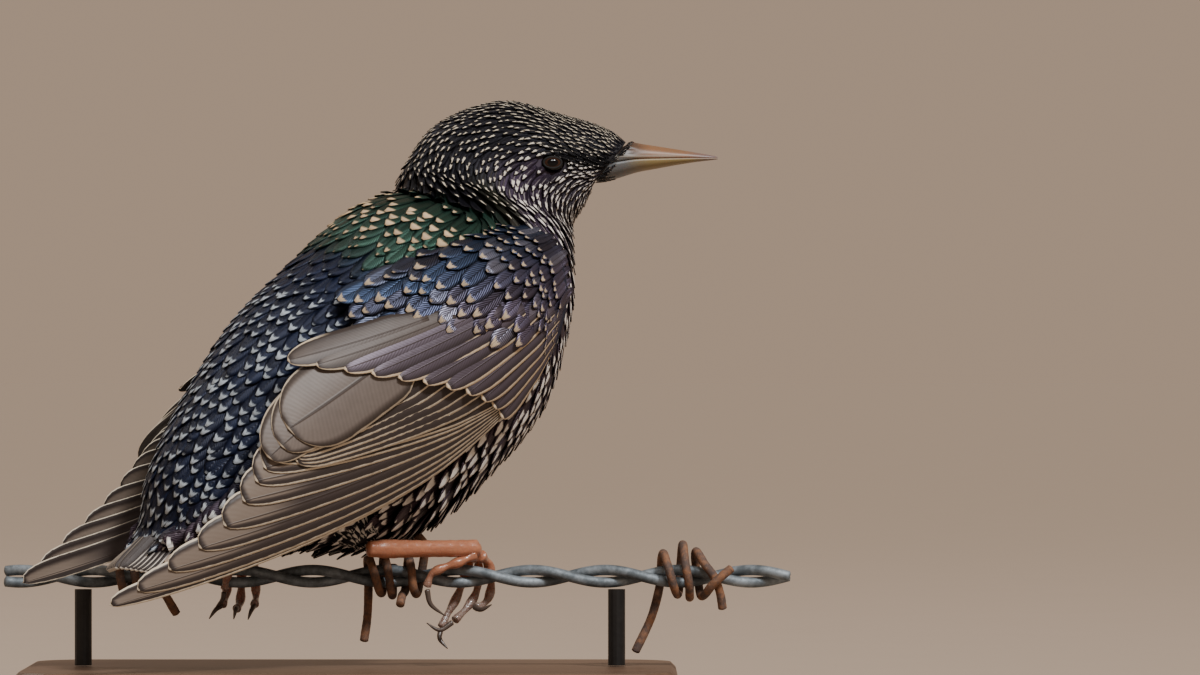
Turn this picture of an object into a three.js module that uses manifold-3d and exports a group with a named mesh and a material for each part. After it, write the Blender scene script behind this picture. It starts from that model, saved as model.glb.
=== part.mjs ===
import * as THREE from "three";
import { mergeVertices } from "three/addons/utils/BufferGeometryUtils.js";
import Module from "manifold-3d";

const wasm = await Module();
wasm.setup();

// A common starling in winter plumage, life size, perched on a cut length of barbed wire on a plain stand.
// Millimetres. +Z is up, X runs along the wire, and the viewer looks along +Y. The origin is the middle of the
// underside of the base. "Right" and "left" are the bird's own.

// Driving dimensions
const GAP = 0.3; // between neighbouring pieces
const WIRE_HEIGHT = 29; // the wire's axis above the floor
const BODY_TURN = THREE.MathUtils.degToRad(36); // the body's heading, from +X towards +Y
const WING_LENGTH = 131; // wrist to wing tip
const WING_DEPTH = 45; // leading edge to the innermost coverts, across the folded wing
const LEFT_TIP_LIFT = 4.4; // the left wing is held a little higher
const LEFT_TUCK = { inwards: 4, down: 9 }; // and its inner feathers are tucked in lower
const EYE_RADIUS = 3.1;
const STRAND_RADIUS = 1.25;
const STRAND_OFFSET = 1.45; // a strand's axis from the wire's axis
const TWIST_PITCH = 34;
const WIRE_START = -80;
const WIRE_END = 102;
const WIRE_REACH = STRAND_OFFSET + STRAND_RADIUS;
const BARB_RADIUS = 1.0;
const BASE_SIZE = { length: 152, width: 92, height: 8, corner: 14, bevel: 1.2 };
const ROD_RADIUS = 2;
const ROD_PLACES = { left: -62, right: 62 };

// The middle line of the body from the tail coverts to the bill. Each station is a flat section: its place, the
// tilt and heading of the line there, its half width, and its depths to the back and to the belly.
const STATIONS = [
  { name: "tail root", place: [-42.1, -30.6, 40.2], tilt: 40, heading: 36, half: 9.5, back: 4.4, belly: 4.4 },
  { name: "tail coverts", place: [-36.5, -26.5, 45.4], tilt: 41.8, heading: 36, half: 13.5, back: 12, belly: 11 },
  { name: "rump", place: [-24.4, -17.7, 53.4], tilt: 35, heading: 36, half: 19.5, back: 22.5, belly: 20.5 },
  { name: "lower back", place: [-9.1, -6.6, 62.6], tilt: 33.2, heading: 36, half: 25, back: 32.5, belly: 31.5 },
  { name: "back", place: [6.3, 4.6, 74.3], tilt: 34.9, heading: 36, half: 28, back: 35.5, belly: 34.5 },
  { name: "shoulders", place: [19.8, 14.4, 89.5], tilt: 40.6, heading: 36, half: 28.5, back: 33.5, belly: 35.5 },
  { name: "upper back", place: [28.6, 20.8, 101.3], tilt: 50.8, heading: 34, half: 25.5, back: 27.8, belly: 27.8 },
  { name: "neck base", place: [31.2, 23, 109.7], tilt: 67.6, heading: 28, half: 22, back: 22.8, belly: 22.8 },
  { name: "neck", place: [31.4, 24, 115.3], tilt: 70.4, heading: 20, half: 19.5, back: 21.6, belly: 22.3 },
  { name: "nape", place: [32.2, 24.3, 118.6], tilt: 69, heading: 12, half: 17.2, back: 21, belly: 21.5 },
  { name: "hind head", place: [36.3, 24.5, 124], tilt: 58.4, heading: 4, half: 14.2, back: 20.2, belly: 20.2 },
  { name: "crown", place: [44.7, 24.5, 128.4], tilt: 41.1, heading: 0, half: 11.4, back: 15.9, belly: 15.9 },
  { name: "brow", place: [53.7, 24.5, 127.5], tilt: 16, heading: 0, half: 8.2, back: 9.6, belly: 9.3 },
  { name: "bill base", place: [61, 24.5, 125.6], tilt: -37.5, heading: 0, half: 5.1, back: 6.3, belly: 6.3 },
];
const TORSO_END = 6.7; // stations, along the middle line
const NECK_END = 8.8;
const EYE_STATION = 10.97;

// The bill's sections: along it from its base, the commissure's height, depths above and below it, half width
const BILL_SECTIONS = [
  { place: [61, 24.5, 125.6], tilt: -37.5, above: 6, below: 6, half: 4.9 },
  { place: [66.3, 24.5, 126.4], tilt: -12, above: 3.9, below: 3.5, half: 4.2 },
  { place: [72.1, 24.5, 126.6], tilt: -3, above: 2.8, below: 2.3, half: 3.3 },
  { place: [79.1, 24.5, 126.7], tilt: 0, above: 1.6, below: 1.15, half: 2.2 },
  { place: [84.2, 24.5, 126.7], tilt: 0, above: 0.7, below: 0.5, half: 1.1 },
  { place: [85.8, 24.5, 126.7], tilt: 0, above: 0.32, below: 0.28, half: 0.4 },
];

// The inner face of the folded right wing: four rows from the leading edge to the innermost coverts, each with
// four points from the wrist to the tip, as [along the body, out from its middle, up].
const WING_ROWS = [
  [[36.5, 27.5, 78.8], [5.3, 26.5, 53.4], [-35.2, 24, 35.3], [-76.8, 17.9, 22.7]],
  [[37.7, 29.5, 93.2], [-7.7, 29, 66.2], [-45.5, 24.5, 48.1], [-86.4, 18, 35.5]],
  [[35, 25.5, 104.8], [-15.7, 26.2, 79], [-51.4, 19.5, 60.9], [-94.4, 16, 48.3]],
  [[25.7, 17, 109.9], [-18, 17.4, 91.8], [-53.5, 10, 73.7], [-101, 12, 61.1]],
];

// Colours
const COLOURS = {
  plumage: 0x15161c,
  throat: 0x2a2628,
  flight: 0x4a4039,
  bill: 0x8a7358,
  eye: 0x1d120d,
  leg: 0x9a5238,
  claw: 0x2c2522,
  steel: 0x66727a,
  rust: 0x5b4033,
  wood: 0x3b2a1e,
  rod: 0x202020,
};

const rad = THREE.MathUtils.degToRad;
const clamp01 = (x) => Math.min(1, Math.max(0, x));
const ease = (x) => clamp01(x) ** 2 * (3 - 2 * clamp01(x));
const mix = (a, b, t) => a + (b - a) * t;

// A smooth curve through evenly spaced values
function through(values, s) {
  const i = Math.min(values.length - 2, Math.max(0, Math.floor(s)));
  const t = s - i;
  const [p1, p2] = [values[i], values[i + 1]];
  const p0 = i > 0 ? values[i - 1] : 2 * p1 - p2;
  const p3 = i + 2 < values.length ? values[i + 2] : 2 * p2 - p1;
  return p1 + 0.5 * t * (p2 - p0 + t * (2 * p0 - 5 * p1 + 4 * p2 - p3 + t * (3 * (p1 - p2) + p3 - p0)));
}

// A piecewise straight curve through [position, value] pairs
function along(pairs, x) {
  const k = Math.max(1, pairs.findIndex((pair) => pair[0] >= x));
  const [[x0, y0], [x1, y1]] = x > pairs.at(-1)[0] ? pairs.slice(-2) : [pairs[k - 1], pairs[k]];
  return mix(y0, y1, clamp01((x - x0) / (x1 - x0)));
}

// The frame of a flat section: its forward, rightward and backward (dorsal) directions
function directions(tilt, heading) {
  const [p, h] = [rad(tilt), rad(heading)];
  return {
    forward: new THREE.Vector3(Math.cos(h) * Math.cos(p), Math.sin(h) * Math.cos(p), Math.sin(p)),
    right: new THREE.Vector3(Math.sin(h), -Math.cos(h), 0),
    dorsal: new THREE.Vector3(-Math.cos(h) * Math.sin(p), -Math.sin(h) * Math.sin(p), Math.cos(p)),
  };
}

// A point of the body's surface at station s and angle a, from the back over the right side to the belly
function bodyPoint(s, a, grow = 0, shift = 0) {
  const pick = (key) => through(STATIONS.map((st) => st[key]), s);
  const place = [0, 1, 2].map((k) => through(STATIONS.map((st) => st.place[k]), s));
  const { forward, right, dorsal } = directions(pick("tilt"), pick("heading"));
  const depth = (Math.cos(a) > 0 ? pick("back") : pick("belly")) + grow;
  return new THREE.Vector3(...place)
    .addScaledVector(forward, shift)
    .addScaledVector(right, (pick("half") + grow) * Math.sin(a))
    .addScaledVector(dorsal, depth * Math.cos(a));
}

// A closed mesh from rings of points, with each end closed by a fan
function loft(rings) {
  const count = rings[0].length;
  const points = rings.flat();
  const index = [];
  for (let i = 0; i + 1 < rings.length; i++) {
    for (let j = 0; j < count; j++) {
      const [a, b] = [i * count + j, i * count + ((j + 1) % count)];
      index.push(a, b, b + count, a, b + count, a + count);
    }
  }
  for (const [ring, turn] of [[0, false], [rings.length - 1, true]]) {
    const middle = rings[ring].reduce((sum, p) => sum.add(p), new THREE.Vector3()).divideScalar(count);
    points.push(middle);
    for (let j = 0; j < count; j++) {
      const [a, b] = [ring * count + j, ring * count + ((j + 1) % count)];
      index.push(...(turn ? [a, b, points.length - 1] : [b, a, points.length - 1]));
    }
  }
  return new THREE.BufferGeometry().setFromPoints(points).setIndex(index);
}

// A closed thin plate. at(s, w) gives a place on its middle, the normal there and the half thickness, for s from 0
// to 1 along it and w from -1 to 1 across it. Both faces are split alike.
function plate(alongSteps, acrossSteps, at) {
  const points = [];
  const index = [];
  const id = (side, i, j) => (side * alongSteps.length + i) * (acrossSteps + 1) + j;
  for (const side of [-1, 1]) {
    for (const s of alongSteps) {
      for (let j = 0; j <= acrossSteps; j++) {
        const { place, normal, half } = at(s, (2 * j) / acrossSteps - 1);
        points.push(place.clone().addScaledVector(normal, side * half));
      }
    }
  }
  const last = alongSteps.length - 1;
  for (let i = 0; i < last; i++) {
    for (let j = 0; j < acrossSteps; j++) {
      const corners = (side) => [id(side, i, j), id(side, i + 1, j), id(side, i + 1, j + 1), id(side, i, j + 1)];
      const [a, b, c, d] = corners(1);
      index.push(a, b, c, a, c, d);
      const [e, f, g, h] = corners(0);
      index.push(e, g, f, e, h, g);
    }
  }
  const border = [];
  for (let i = 0; i < last; i++) border.push([i, 0]);
  for (let j = 0; j < acrossSteps; j++) border.push([last, j]);
  for (let i = last; i > 0; i--) border.push([i, acrossSteps]);
  for (let j = acrossSteps; j > 0; j--) border.push([0, j]);
  border.forEach(([i, j], k) => {
    const [m, n] = border[(k + 1) % border.length];
    const [a, b, c, d] = [id(0, i, j), id(0, m, n), id(1, m, n), id(1, i, j)];
    index.push(a, b, c, a, c, d);
  });
  return new THREE.BufferGeometry().setFromPoints(points).setIndex(index);
}

// A tapered tube along points, with its radius given at each
function tube(points, radii, sides = 8, flat = 1) {
  const curve = new THREE.CatmullRomCurve3(points);
  const frames = curve.computeFrenetFrames(radii.length - 1, false);
  const rings = radii.map((radius, i) => {
    const middle = curve.getPointAt(i / (radii.length - 1));
    return Array.from({ length: sides }, (_, j) => {
      const a = (2 * Math.PI * j) / sides;
      return middle
        .clone()
        .addScaledVector(frames.normals[i], radius * Math.cos(a))
        .addScaledVector(frames.binormals[i], radius * flat * Math.sin(a));
    });
  });
  return loft(rings);
}

// A three.js geometry as a solid whose faces point outwards
function solid(geometry) {
  const bare = geometry.clone();
  for (const key of Object.keys(bare.attributes)) if (key !== "position") bare.deleteAttribute(key);
  const merged = mergeVertices(bare, 1e-4);
  const build = (triVerts) =>
    new wasm.Manifold(new wasm.Mesh({ numProp: 3, vertProperties: merged.attributes.position.array, triVerts }));
  const made = build(new Uint32Array(merged.index.array));
  if (made.volume() > 0) return made;
  return build(new Uint32Array(merged.index.array).reverse());
}

const joined = (solids) => solids.reduce((all, one) => all.add(one));

// The largest closed surface of a solid, filled where fusing has sealed a hollow
function largest(made) {
  return made.decompose().reduce((best, one) => (one.volume() > best.volume() ? one : best));
}

const group = new THREE.Group();

function addNode(name, made, colour, { roughness = 0.6, metalness = 0 } = {}) {
  const { vertProperties, triVerts } = largest(made).getMesh();
  const geometry = new THREE.BufferGeometry()
    .setAttribute("position", new THREE.BufferAttribute(vertProperties, 3))
    .setIndex(new THREE.BufferAttribute(triVerts, 1));
  geometry.computeVertexNormals();
  const mesh = new THREE.Mesh(geometry, new THREE.MeshStandardMaterial({ color: colour, roughness, metalness }));
  mesh.name = name;
  group.add(mesh);
}

// Body, neck and head

function bodyPart(from, to, steps, sides, grow = 0) {
  const rings = [];
  for (let i = 0; i <= steps; i++) {
    const shift = ((i === 0) - (i === steps)) * (GAP / 2 - grow);
    const s = mix(from, to, i / steps);
    rings.push(Array.from({ length: sides }, (_, j) => bodyPoint(s, (-2 * Math.PI * j) / sides, grow, shift)));
  }
  return solid(loft(rings));
}

const eyeAngle = rad(104);
const eyes = Object.fromEntries(
  [["right", 1], ["left", -1]].map(([side, sign]) => {
    const surface = bodyPoint(EYE_STATION, sign * eyeAngle);
    const outward = new THREE.Vector3(0.12, -sign, 0.1).normalize();
    return [side, { surface, outward, middle: surface.clone().addScaledVector(outward, 0.75 - EYE_RADIUS) }];
  }),
);

function ball(radius, middle, wide = 14, high = 9) {
  return solid(new THREE.SphereGeometry(radius, wide, high).translate(middle.x, middle.y, middle.z));
}

// A lid is a ring round the eye's opening, raised on the head
function eyelid({ middle, outward }) {
  const ring = new THREE.TorusGeometry(2.5, 0.5, 5, 14);
  const turn = new THREE.Quaternion().setFromUnitVectors(new THREE.Vector3(0, 0, 1), outward);
  ring.scale(1.05, 0.9, 1).applyQuaternion(turn);
  const place = middle.clone().addScaledVector(outward, 1.85);
  return solid(ring.translate(place.x, place.y, place.z));
}

function makeHead() {
  let head = bodyPart(NECK_END, STATIONS.length - 1, 12, 24);
  for (const eye of Object.values(eyes)) {
    head = head.add(eyelid(eye)).subtract(ball(EYE_RADIUS + GAP, eye.middle));
  }
  return head;
}

// One mandible, as half sections above or below the line of the mouth
function mandible(side) {
  const arc = 8;
  const rings = BILL_SECTIONS.map(({ place, tilt, above, below, half }, k) => {
    const { forward, right, dorsal } = directions(tilt, 0);
    const depth = side > 0 ? above : below;
    const gap = Math.min(GAP / 2, depth * 0.45);
    return Array.from({ length: arc + 1 }, (_, j) => {
      const a = (Math.PI * j) / arc;
      return new THREE.Vector3(...place)
        .addScaledVector(forward, k === 0 ? GAP / 2 : 0)
        .addScaledVector(right, half * Math.cos(a))
        .addScaledVector(dorsal, side * (gap + (depth - gap) * Math.sin(a) ** 0.8));
    });
  });
  return solid(loft(rings));
}

function makeUpperBill() {
  let bill = mandible(1);
  for (const sign of [1, -1]) {
    const nostril = new THREE.SphereGeometry(1, 8, 6).scale(1.5, 0.7, 0.45).rotateY(rad(14));
    bill = bill.subtract(solid(nostril.translate(65.2, 24.5 - sign * 3.7, 128.4)));
  }
  return bill;
}

// Wings

const cubic = (t) => {
  const nodes = [0, 1 / 3, 2 / 3, 1];
  return nodes.map((a, i) => nodes.reduce((w, b, j) => (j === i ? w : (w * (t - b)) / (a - b)), 1));
};

// A point of a wing's inner face, u from the wrist to the tip and q millimetres in from the leading edge
function wingPlace(side, u, q) {
  const [across, length] = [cubic(q / WING_DEPTH), cubic(u)];
  const sum = [0, 0, 0];
  WING_ROWS.forEach((row, i) =>
    row.forEach((point, j) => point.forEach((x, k) => (sum[k] += x * across[i] * length[j]))),
  );
  const tuck = side < 0 ? ease(q / WING_DEPTH) * ease(u / 0.3) * (1 - ease((u - 0.45) / 0.55)) : 0;
  const [ahead, out] = [sum[0], side * (sum[1] - LEFT_TUCK.inwards * tuck)];
  const up = sum[2] + (side < 0 ? LEFT_TIP_LIFT * u * u : 0) - LEFT_TUCK.down * tuck;
  return new THREE.Vector3(
    ahead * Math.cos(BODY_TURN) + out * Math.sin(BODY_TURN),
    ahead * Math.sin(BODY_TURN) - out * Math.cos(BODY_TURN),
    up,
  );
}

function wingNormal(side, u, q) {
  const du = wingPlace(side, u + 0.01, q).sub(wingPlace(side, u - 0.01, q));
  const dq = wingPlace(side, u, q + 0.3).sub(wingPlace(side, u, q - 0.3));
  return dq.cross(du).multiplyScalar(side).normalize();
}

function onWing(side, u, q, height, half) {
  const normal = wingNormal(side, u, q);
  return { place: wingPlace(side, u, q).addScaledVector(normal, height), normal, half };
}

// The height of the folded wing's upper face over its inner face
const wingTop = (u, q) => mix(1.7, 4.9, ease(q / 15)) * mix(0.45, 1, ease((u + 0.04) / 0.14));

// A feather's half width along it, as a share of its widest: its rounded end starts at the taper
const vaneWidth = (s, taper) => {
  const end = Math.max(0, (s - taper) / (1 - taper));
  return Math.min(1, 0.45 + 2.4 * s) * Math.sqrt(Math.max(0.006, 1 - end ** 2.4));
};
const vaneSteps = (taper) => [0, taper * 0.55, taper, mix(taper, 1, 0.65), 1];
const VANE_HALF = 0.27; // of its thickness
const TAPER = { primary: 0.86, tertial: 0.66, covert: 0.6, tail: 0.72 };
const SHORT_STEPS = [0, 0.6, 0.85, 1];

// A vane lies on the wing from its root to its tip, both [u, q], with a narrow outer and a broad inner web
function vane(side, feather) {
  const { root, tip, outer, inner, rise, taper = TAPER.primary, cells = 2 } = feather;
  const { steps = vaneSteps(taper) } = feather;
  const run = [(tip[0] - root[0]) * WING_LENGTH, tip[1] - root[1]];
  const length = Math.hypot(...run);
  return solid(
    plate(steps, cells, (s, w) => {
      const off = w * (w < 0 ? outer : inner) * vaneWidth(s, taper);
      const u = mix(root[0], tip[0], s) - (off * run[1]) / length / WING_LENGTH;
      const q = mix(root[1], tip[1], s) + (off * run[0]) / length;
      const height = mix(rise[0], rise[1], s) + (w === 0 ? 0.18 : 0);
      return onWing(side, u, q, height, VANE_HALF * (s > 0.9 ? 0.75 : 1));
    }),
  );
}

// Primaries, outermost first: the leading edge is the longest, and each next one is shorter and lies higher
const PRIMARY_TIPS = [
  [1, 1.6],
  [0.94, 3.4],
  [0.87, 5.9],
  [0.8, 8.4],
  [0.737, 11.2],
  [0.68, 14.7],
  [0.638, 17.6],
  [0.61, 19.5],
  [0.585, 20.5],
];
const primaries = PRIMARY_TIPS.map((tip, k) => ({
  root: [0.15, 1.2 + 0.5 * k],
  tip,
  outer: k === 0 ? 1.5 : 2.2,
  inner: 3.8 + 0.75 * k,
  rise: [0.9 + 0.12 * k, 0.45 + 0.3 * k],
  cells: k < 6 ? 2 : 1,
}));

// Secondaries, from the wrist inwards
const secondaries = Array.from({ length: 4 }, (_, k) => ({
  root: [0.13 + 0.03 * k, 7.5 + 3.8 * k],
  tip: [0.55, 18 + 1.3 * k],
  outer: 3,
  inner: 7,
  rise: [2.4 + 0.25 * k, 3.1 + 0.15 * k],
  cells: 1,
}));

// Tertials, the longest and lowest first
const tertials = [
  { root: [0.26, 31], tip: [0.595, 21], outer: 5, inner: 8, rise: [3.2, 3.7] },
  { root: [0.25, 30], tip: [0.562, 22], outer: 5.5, inner: 8.5, rise: [3.6, 4.15] },
  { root: [0.24, 27.5], tip: [0.532, 24.5], outer: 8.5, inner: 9, rise: [4, 4.6] },
].map((one) => ({ ...one, taper: TAPER.tertial }));

// Coverts in two tiers over the flight feathers, from the leading edge inwards
const GREATER_COVERTS = 8;
const MEDIAN_COVERTS = 5;
const COVERT_ROOT = 0.005; // none is rooted ahead of this
const covert = (root, tip, web, sink, lift) => ({
  root,
  tip,
  outer: web[0],
  inner: web[1],
  rise: [wingTop(...root) - sink, wingTop(...tip) + lift],
  taper: TAPER.covert,
  steps: SHORT_STEPS,
  cells: 1,
});
const greaterCoverts = Array.from({ length: GREATER_COVERTS }, (_, k) => {
  const t = k / (GREATER_COVERTS - 1);
  const tip = [0.165 + 0.3 * t ** 1.5, 1.5 + 35 * t];
  const root = [Math.max(COVERT_ROOT, tip[0] - 0.2 - 0.06 * t), tip[1] + 2.2 - 9 * t];
  return covert(root, tip, [3.2, 4], 0.6, 0.35);
});
const medianCoverts = Array.from({ length: MEDIAN_COVERTS }, (_, k) => {
  const t = k / (MEDIAN_COVERTS - 1);
  const tip = [0.045 + 0.26 * t, 10 + 24 * t];
  const root = [Math.max(COVERT_ROOT, tip[0] - 0.1), tip[1] + 1.5];
  return covert(root, tip, [3, 3], 0.9, 0.85);
});

const even = (steps) => Array.from({ length: steps + 1 }, (_, i) => i / steps);

// The fleshy front of the wing, which every vane is rooted in
function wingArm(side) {
  return solid(
    plate(even(6), 7, (s, w) => {
      const [u, q] = [mix(-0.02, 0.27, s), mix(0.6, WING_DEPTH - 1, (w + 1) / 2)];
      const edge = (1 - (2 * s - 1) ** 4) * (1 - w ** 6);
      const half = (0.5 + Math.max(0, wingTop(u, q) - 0.9) * edge) / 2;
      return onWing(side, u, q, half, half);
    }),
  );
}

// The room that a wing takes, from a gap under its inner face outwards
function wingRoom(side) {
  return solid(
    plate(even(12), 6, (s, w) => {
      const u = mix(-0.05, 1.02, s);
      const q = mix(-1.5, along([[0.45, WING_DEPTH + 0.5], [0.62, 36], [1, 12]], u), (w + 1) / 2);
      return onWing(side, u, q, 6 - GAP, 6);
    }),
  );
}

function makeWing(side) {
  const vanes = [...primaries, ...secondaries, ...tertials, ...greaterCoverts, ...medianCoverts];
  return joined([wingArm(side), ...vanes.map((one) => vane(side, one))]).simplify(0.05);
}

// Tail: twelve feathers folded over one another, from a root block at the end of the body

function makeTail() {
  const { forward, right, dorsal } = directions(STATIONS[0].tilt, STATIONS[0].heading);
  const root = new THREE.Vector3(...STATIONS[0].place).addScaledVector(forward, -GAP / 2);
  const pieces = [];
  const block = { length: 6.5, width: 16.5, height: 4.6 };
  const at = (back, out, up) =>
    root.clone().addScaledVector(forward, -back).addScaledVector(right, out).addScaledVector(dorsal, up);
  const wedge = [[0, 1], [block.length * 0.5, 0.85], [block.length, 0.35]].map(([back, size]) =>
    Array.from({ length: 12 }, (_, j) => {
      const a = (2 * Math.PI * j) / 12;
      const out = (block.width / 2) * Math.cos(a) * (0.6 + 0.4 * size);
      return at(back, out, (block.height / 2) * Math.sin(a) * size);
    }),
  );
  pieces.push(solid(loft(wedge)));
  for (let k = 0; k < 6; k++) {
    for (const sign of k === 0 ? [1, -1] : [-1, 1]) {
      const out = 1.1 + 1.35 * k;
      const length = 14.6 - 0.25 * k;
      const level = 1.15 - 0.34 * k + (sign > 0 ? 0.12 : 0);
      pieces.push(
        solid(
          plate(SHORT_STEPS, 1, (s, w) => ({
            place: at(
              mix(1.2, length, s),
              sign * mix(out * 0.75, out, s) + w * 3.1 * vaneWidth(s, TAPER.tail),
              level - 0.006 * out * out,
            ),
            normal: dorsal,
            half: VANE_HALF,
          })),
        ),
      );
    }
  }
  return joined(pieces);
}

// Legs. Each foot holds the wire with three toes over its far side and the hind toe on the near side.

const at = (x, y, z) => new THREE.Vector3(x, y, z);
const points = (list) => list.map((p) => at(...p));

// A point round the wire: its place along it, the angle from the far side over the top, and the distance
const roundWire = (x, degrees, radius) =>
  at(x, radius * Math.cos(rad(degrees)), WIRE_HEIGHT + radius * Math.sin(rad(degrees)));

// Each toe is a list of points from the foot's joint on, followed by three points for its claw
const LEGS = {
  right: {
    thigh: { from: at(-3, -11.5, 48), to: at(4, -15.2, 37.9), radii: [10.5, 10, 8.6, 6.4, 3.4] },
    heel: at(4.8, -15.4, 35.4),
    joint: at(29.4, -1.8, 35.2),
    toes: [
      [
        [29, 0.2, 33.8], [27.6, 4.2, 31.7], [26.2, 4.6, 27.5], [24.6, 4, 23.6], [22.6, 2.6, 20],
        [21.3, 1.6, 17.2],
      ],
      [
        [29.8, 0.4, 33.8], [29.8, 4.4, 31.6], [29.8, 4.8, 27.5], [28.9, 3.8, 24.2], [27, 1.6, 21.4],
        [24.5, -1.3, 18.9],
      ],
      [
        [30.4, 0.2, 33.8], [32.2, 4.3, 31.4], [32.8, 4.7, 27.3], [32.2, 4.1, 24], [30.8, 2.4, 22.3],
        [29.3, 0.8, 21.8],
      ],
      [[28.9, -2.6, 34], [25.5, -4.4, 32.4], [21.8, -5.1, 31.1], [19.1, -5.2, 29.6], [18, -4.9, 26.9]],
    ],
    claws: [
      [[21.05, 1.3, 16.4], [20.9, 0.3, 14.4], [22.7, -0.6, 12.2]],
      [[23.8, -2, 18.3], [20.9, -2.9, 16.6], [17.9, -2.6, 18.2]],
      [[29, -0.1, 21.8], [30.6, -1.8, 21.3], [33, -2.8, 22.5]],
      [[18.05, -4.8, 25.9], [18.9, -4.6, 22.6], [22.2, -4.3, 19.9]],
    ],
  },
  left: {
    thigh: { from: at(-21, 0.5, 46), to: at(-24.8, -1.3, 37), radii: [8.5, 8, 7, 5.4, 3.2] },
    heel: at(-24.2, -1.7, 41),
    joint: at(-25.4, -0.8, 35.2),
    toes: [
      [[-26, 0.2, 33.8], [-28, 4.2, 31.6], [-28.6, 4.7, 27.4], [-29, 3.4, 24.2], [-29.6, 0.6, 22.4]],
      [
        [-25.4, 0.4, 33.8], [-25.4, 4.4, 31.6], [-25.4, 4.8, 27.4], [-25.6, 3.6, 23.6],
        [-26, 0.6, 21.6], [-26.2, -2, 21.6],
      ],
      [[-24.8, 0.2, 33.8], [-22.8, 4.2, 31.4], [-22.2, 4.6, 27.3], [-22, 3.6, 24.2], [-22.2, 0.8, 22.4]],
      [[-25.9, -2.4, 33.8], [-27.4, -4.3, 31.7], [-28.4, -4.9, 29], [-28.9, -4.5, 26.2]],
    ],
    claws: [
      [[-30, -0.3, 22.1], [-31.2, -2, 21.2], [-32.6, -2.6, 19.2]],
      [[-26.25, -2.8, 21.7], [-26.4, -4.7, 21.2], [-26.8, -5.4, 19.2]],
      [[-22.3, -0.1, 22.1], [-22.9, -2, 21], [-23.6, -2.6, 19]],
      [[-29.05, -4.3, 25.3], [-29.5, -3.9, 23.6], [-31, -3.4, 22]],
    ],
  },
};
const SHIN_WIDTH = 0.76; // of its depth
const toeRadii = Array.from({ length: 11 }, (_, i) => mix(1.2, 0.85, i / 10) + (i % 3 === 2 ? 0.16 : 0));
const clawRadii = [0.68, 0.62, 0.52, 0.36, 0.15];

function shin({ heel, joint }, grow = 0) {
  const way = joint.clone().sub(heel).normalize();
  const start = heel.clone().addScaledVector(way, -grow);
  const end = joint.clone().addScaledVector(way, grow - 1.5);
  const radii = [1.7, 2.05, 1.85, 1.75, 1.75, 1.8, 1.9].map((r) => r + grow);
  return solid(tube([start, start.clone().lerp(end, 0.5), end], radii, 12, SHIN_WIDTH));
}

function makeLeg(side, leg, room) {
  const { thigh, joint } = leg;
  const thighPath = even(4).map((t) => thigh.from.clone().lerp(thigh.to, t));
  const wholeThigh = solid(tube(thighPath, thigh.radii, 14)).subtract(room);
  addNode(`leg_${side}_thigh`, wholeThigh.subtract(shin(leg, GAP)), COLOURS.plumage);
  addNode(`leg_${side}_shin`, shin(leg), COLOURS.leg, { roughness: 0.45 });

  const knuckle = solid(new THREE.SphereGeometry(1.95, 10, 7).translate(joint.x, joint.y, joint.z));
  const toes = leg.toes.map((toe) => solid(tube(points(toe), toeRadii, 6)));
  const wireRoom = solid(
    new THREE.CylinderGeometry(WIRE_REACH + GAP, WIRE_REACH + GAP, 60, 20)
      .rotateZ(Math.PI / 2)
      .translate(joint.x, 0, WIRE_HEIGHT),
  );
  const foot = joined([knuckle, ...toes]).subtract(shin(leg, GAP)).subtract(wireRoom);
  addNode(`foot_${side}`, foot, COLOURS.leg, { roughness: 0.5 });
  leg.claws.forEach((claw, k) => {
    addNode(`claw_${side}_${k + 1}`, solid(tube(points(claw), clawRadii, 6)), COLOURS.claw, { roughness: 0.35 });
  });
}

// The barbed wire: two strands twisted together, and barbs of two wires each wound round both strands

function strand(phase) {
  const turns = (WIRE_END - WIRE_START) / TWIST_PITCH;
  const steps = Math.round(turns * 9);
  const lean = Math.atan2(2 * Math.PI * STRAND_OFFSET, TWIST_PITCH);
  const rings = Array.from({ length: steps + 1 }, (_, i) => {
    const x = mix(WIRE_START, WIRE_END, i / steps);
    const a = (2 * Math.PI * x) / TWIST_PITCH + phase;
    const middle = at(x, STRAND_OFFSET * Math.cos(a), WIRE_HEIGHT + STRAND_OFFSET * Math.sin(a));
    const outward = at(0, Math.cos(a), Math.sin(a));
    const side = at(-Math.sin(lean), 0, 0).addScaledVector(at(0, -Math.sin(a), Math.cos(a)), Math.cos(lean));
    return Array.from({ length: 6 }, (_, j) => {
      const b = (2 * Math.PI * j) / 6;
      return middle
        .clone()
        .addScaledVector(outward, STRAND_RADIUS * Math.cos(b))
        .addScaledVector(side, STRAND_RADIUS * Math.sin(b));
    });
  });
  return solid(loft(rings));
}

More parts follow.
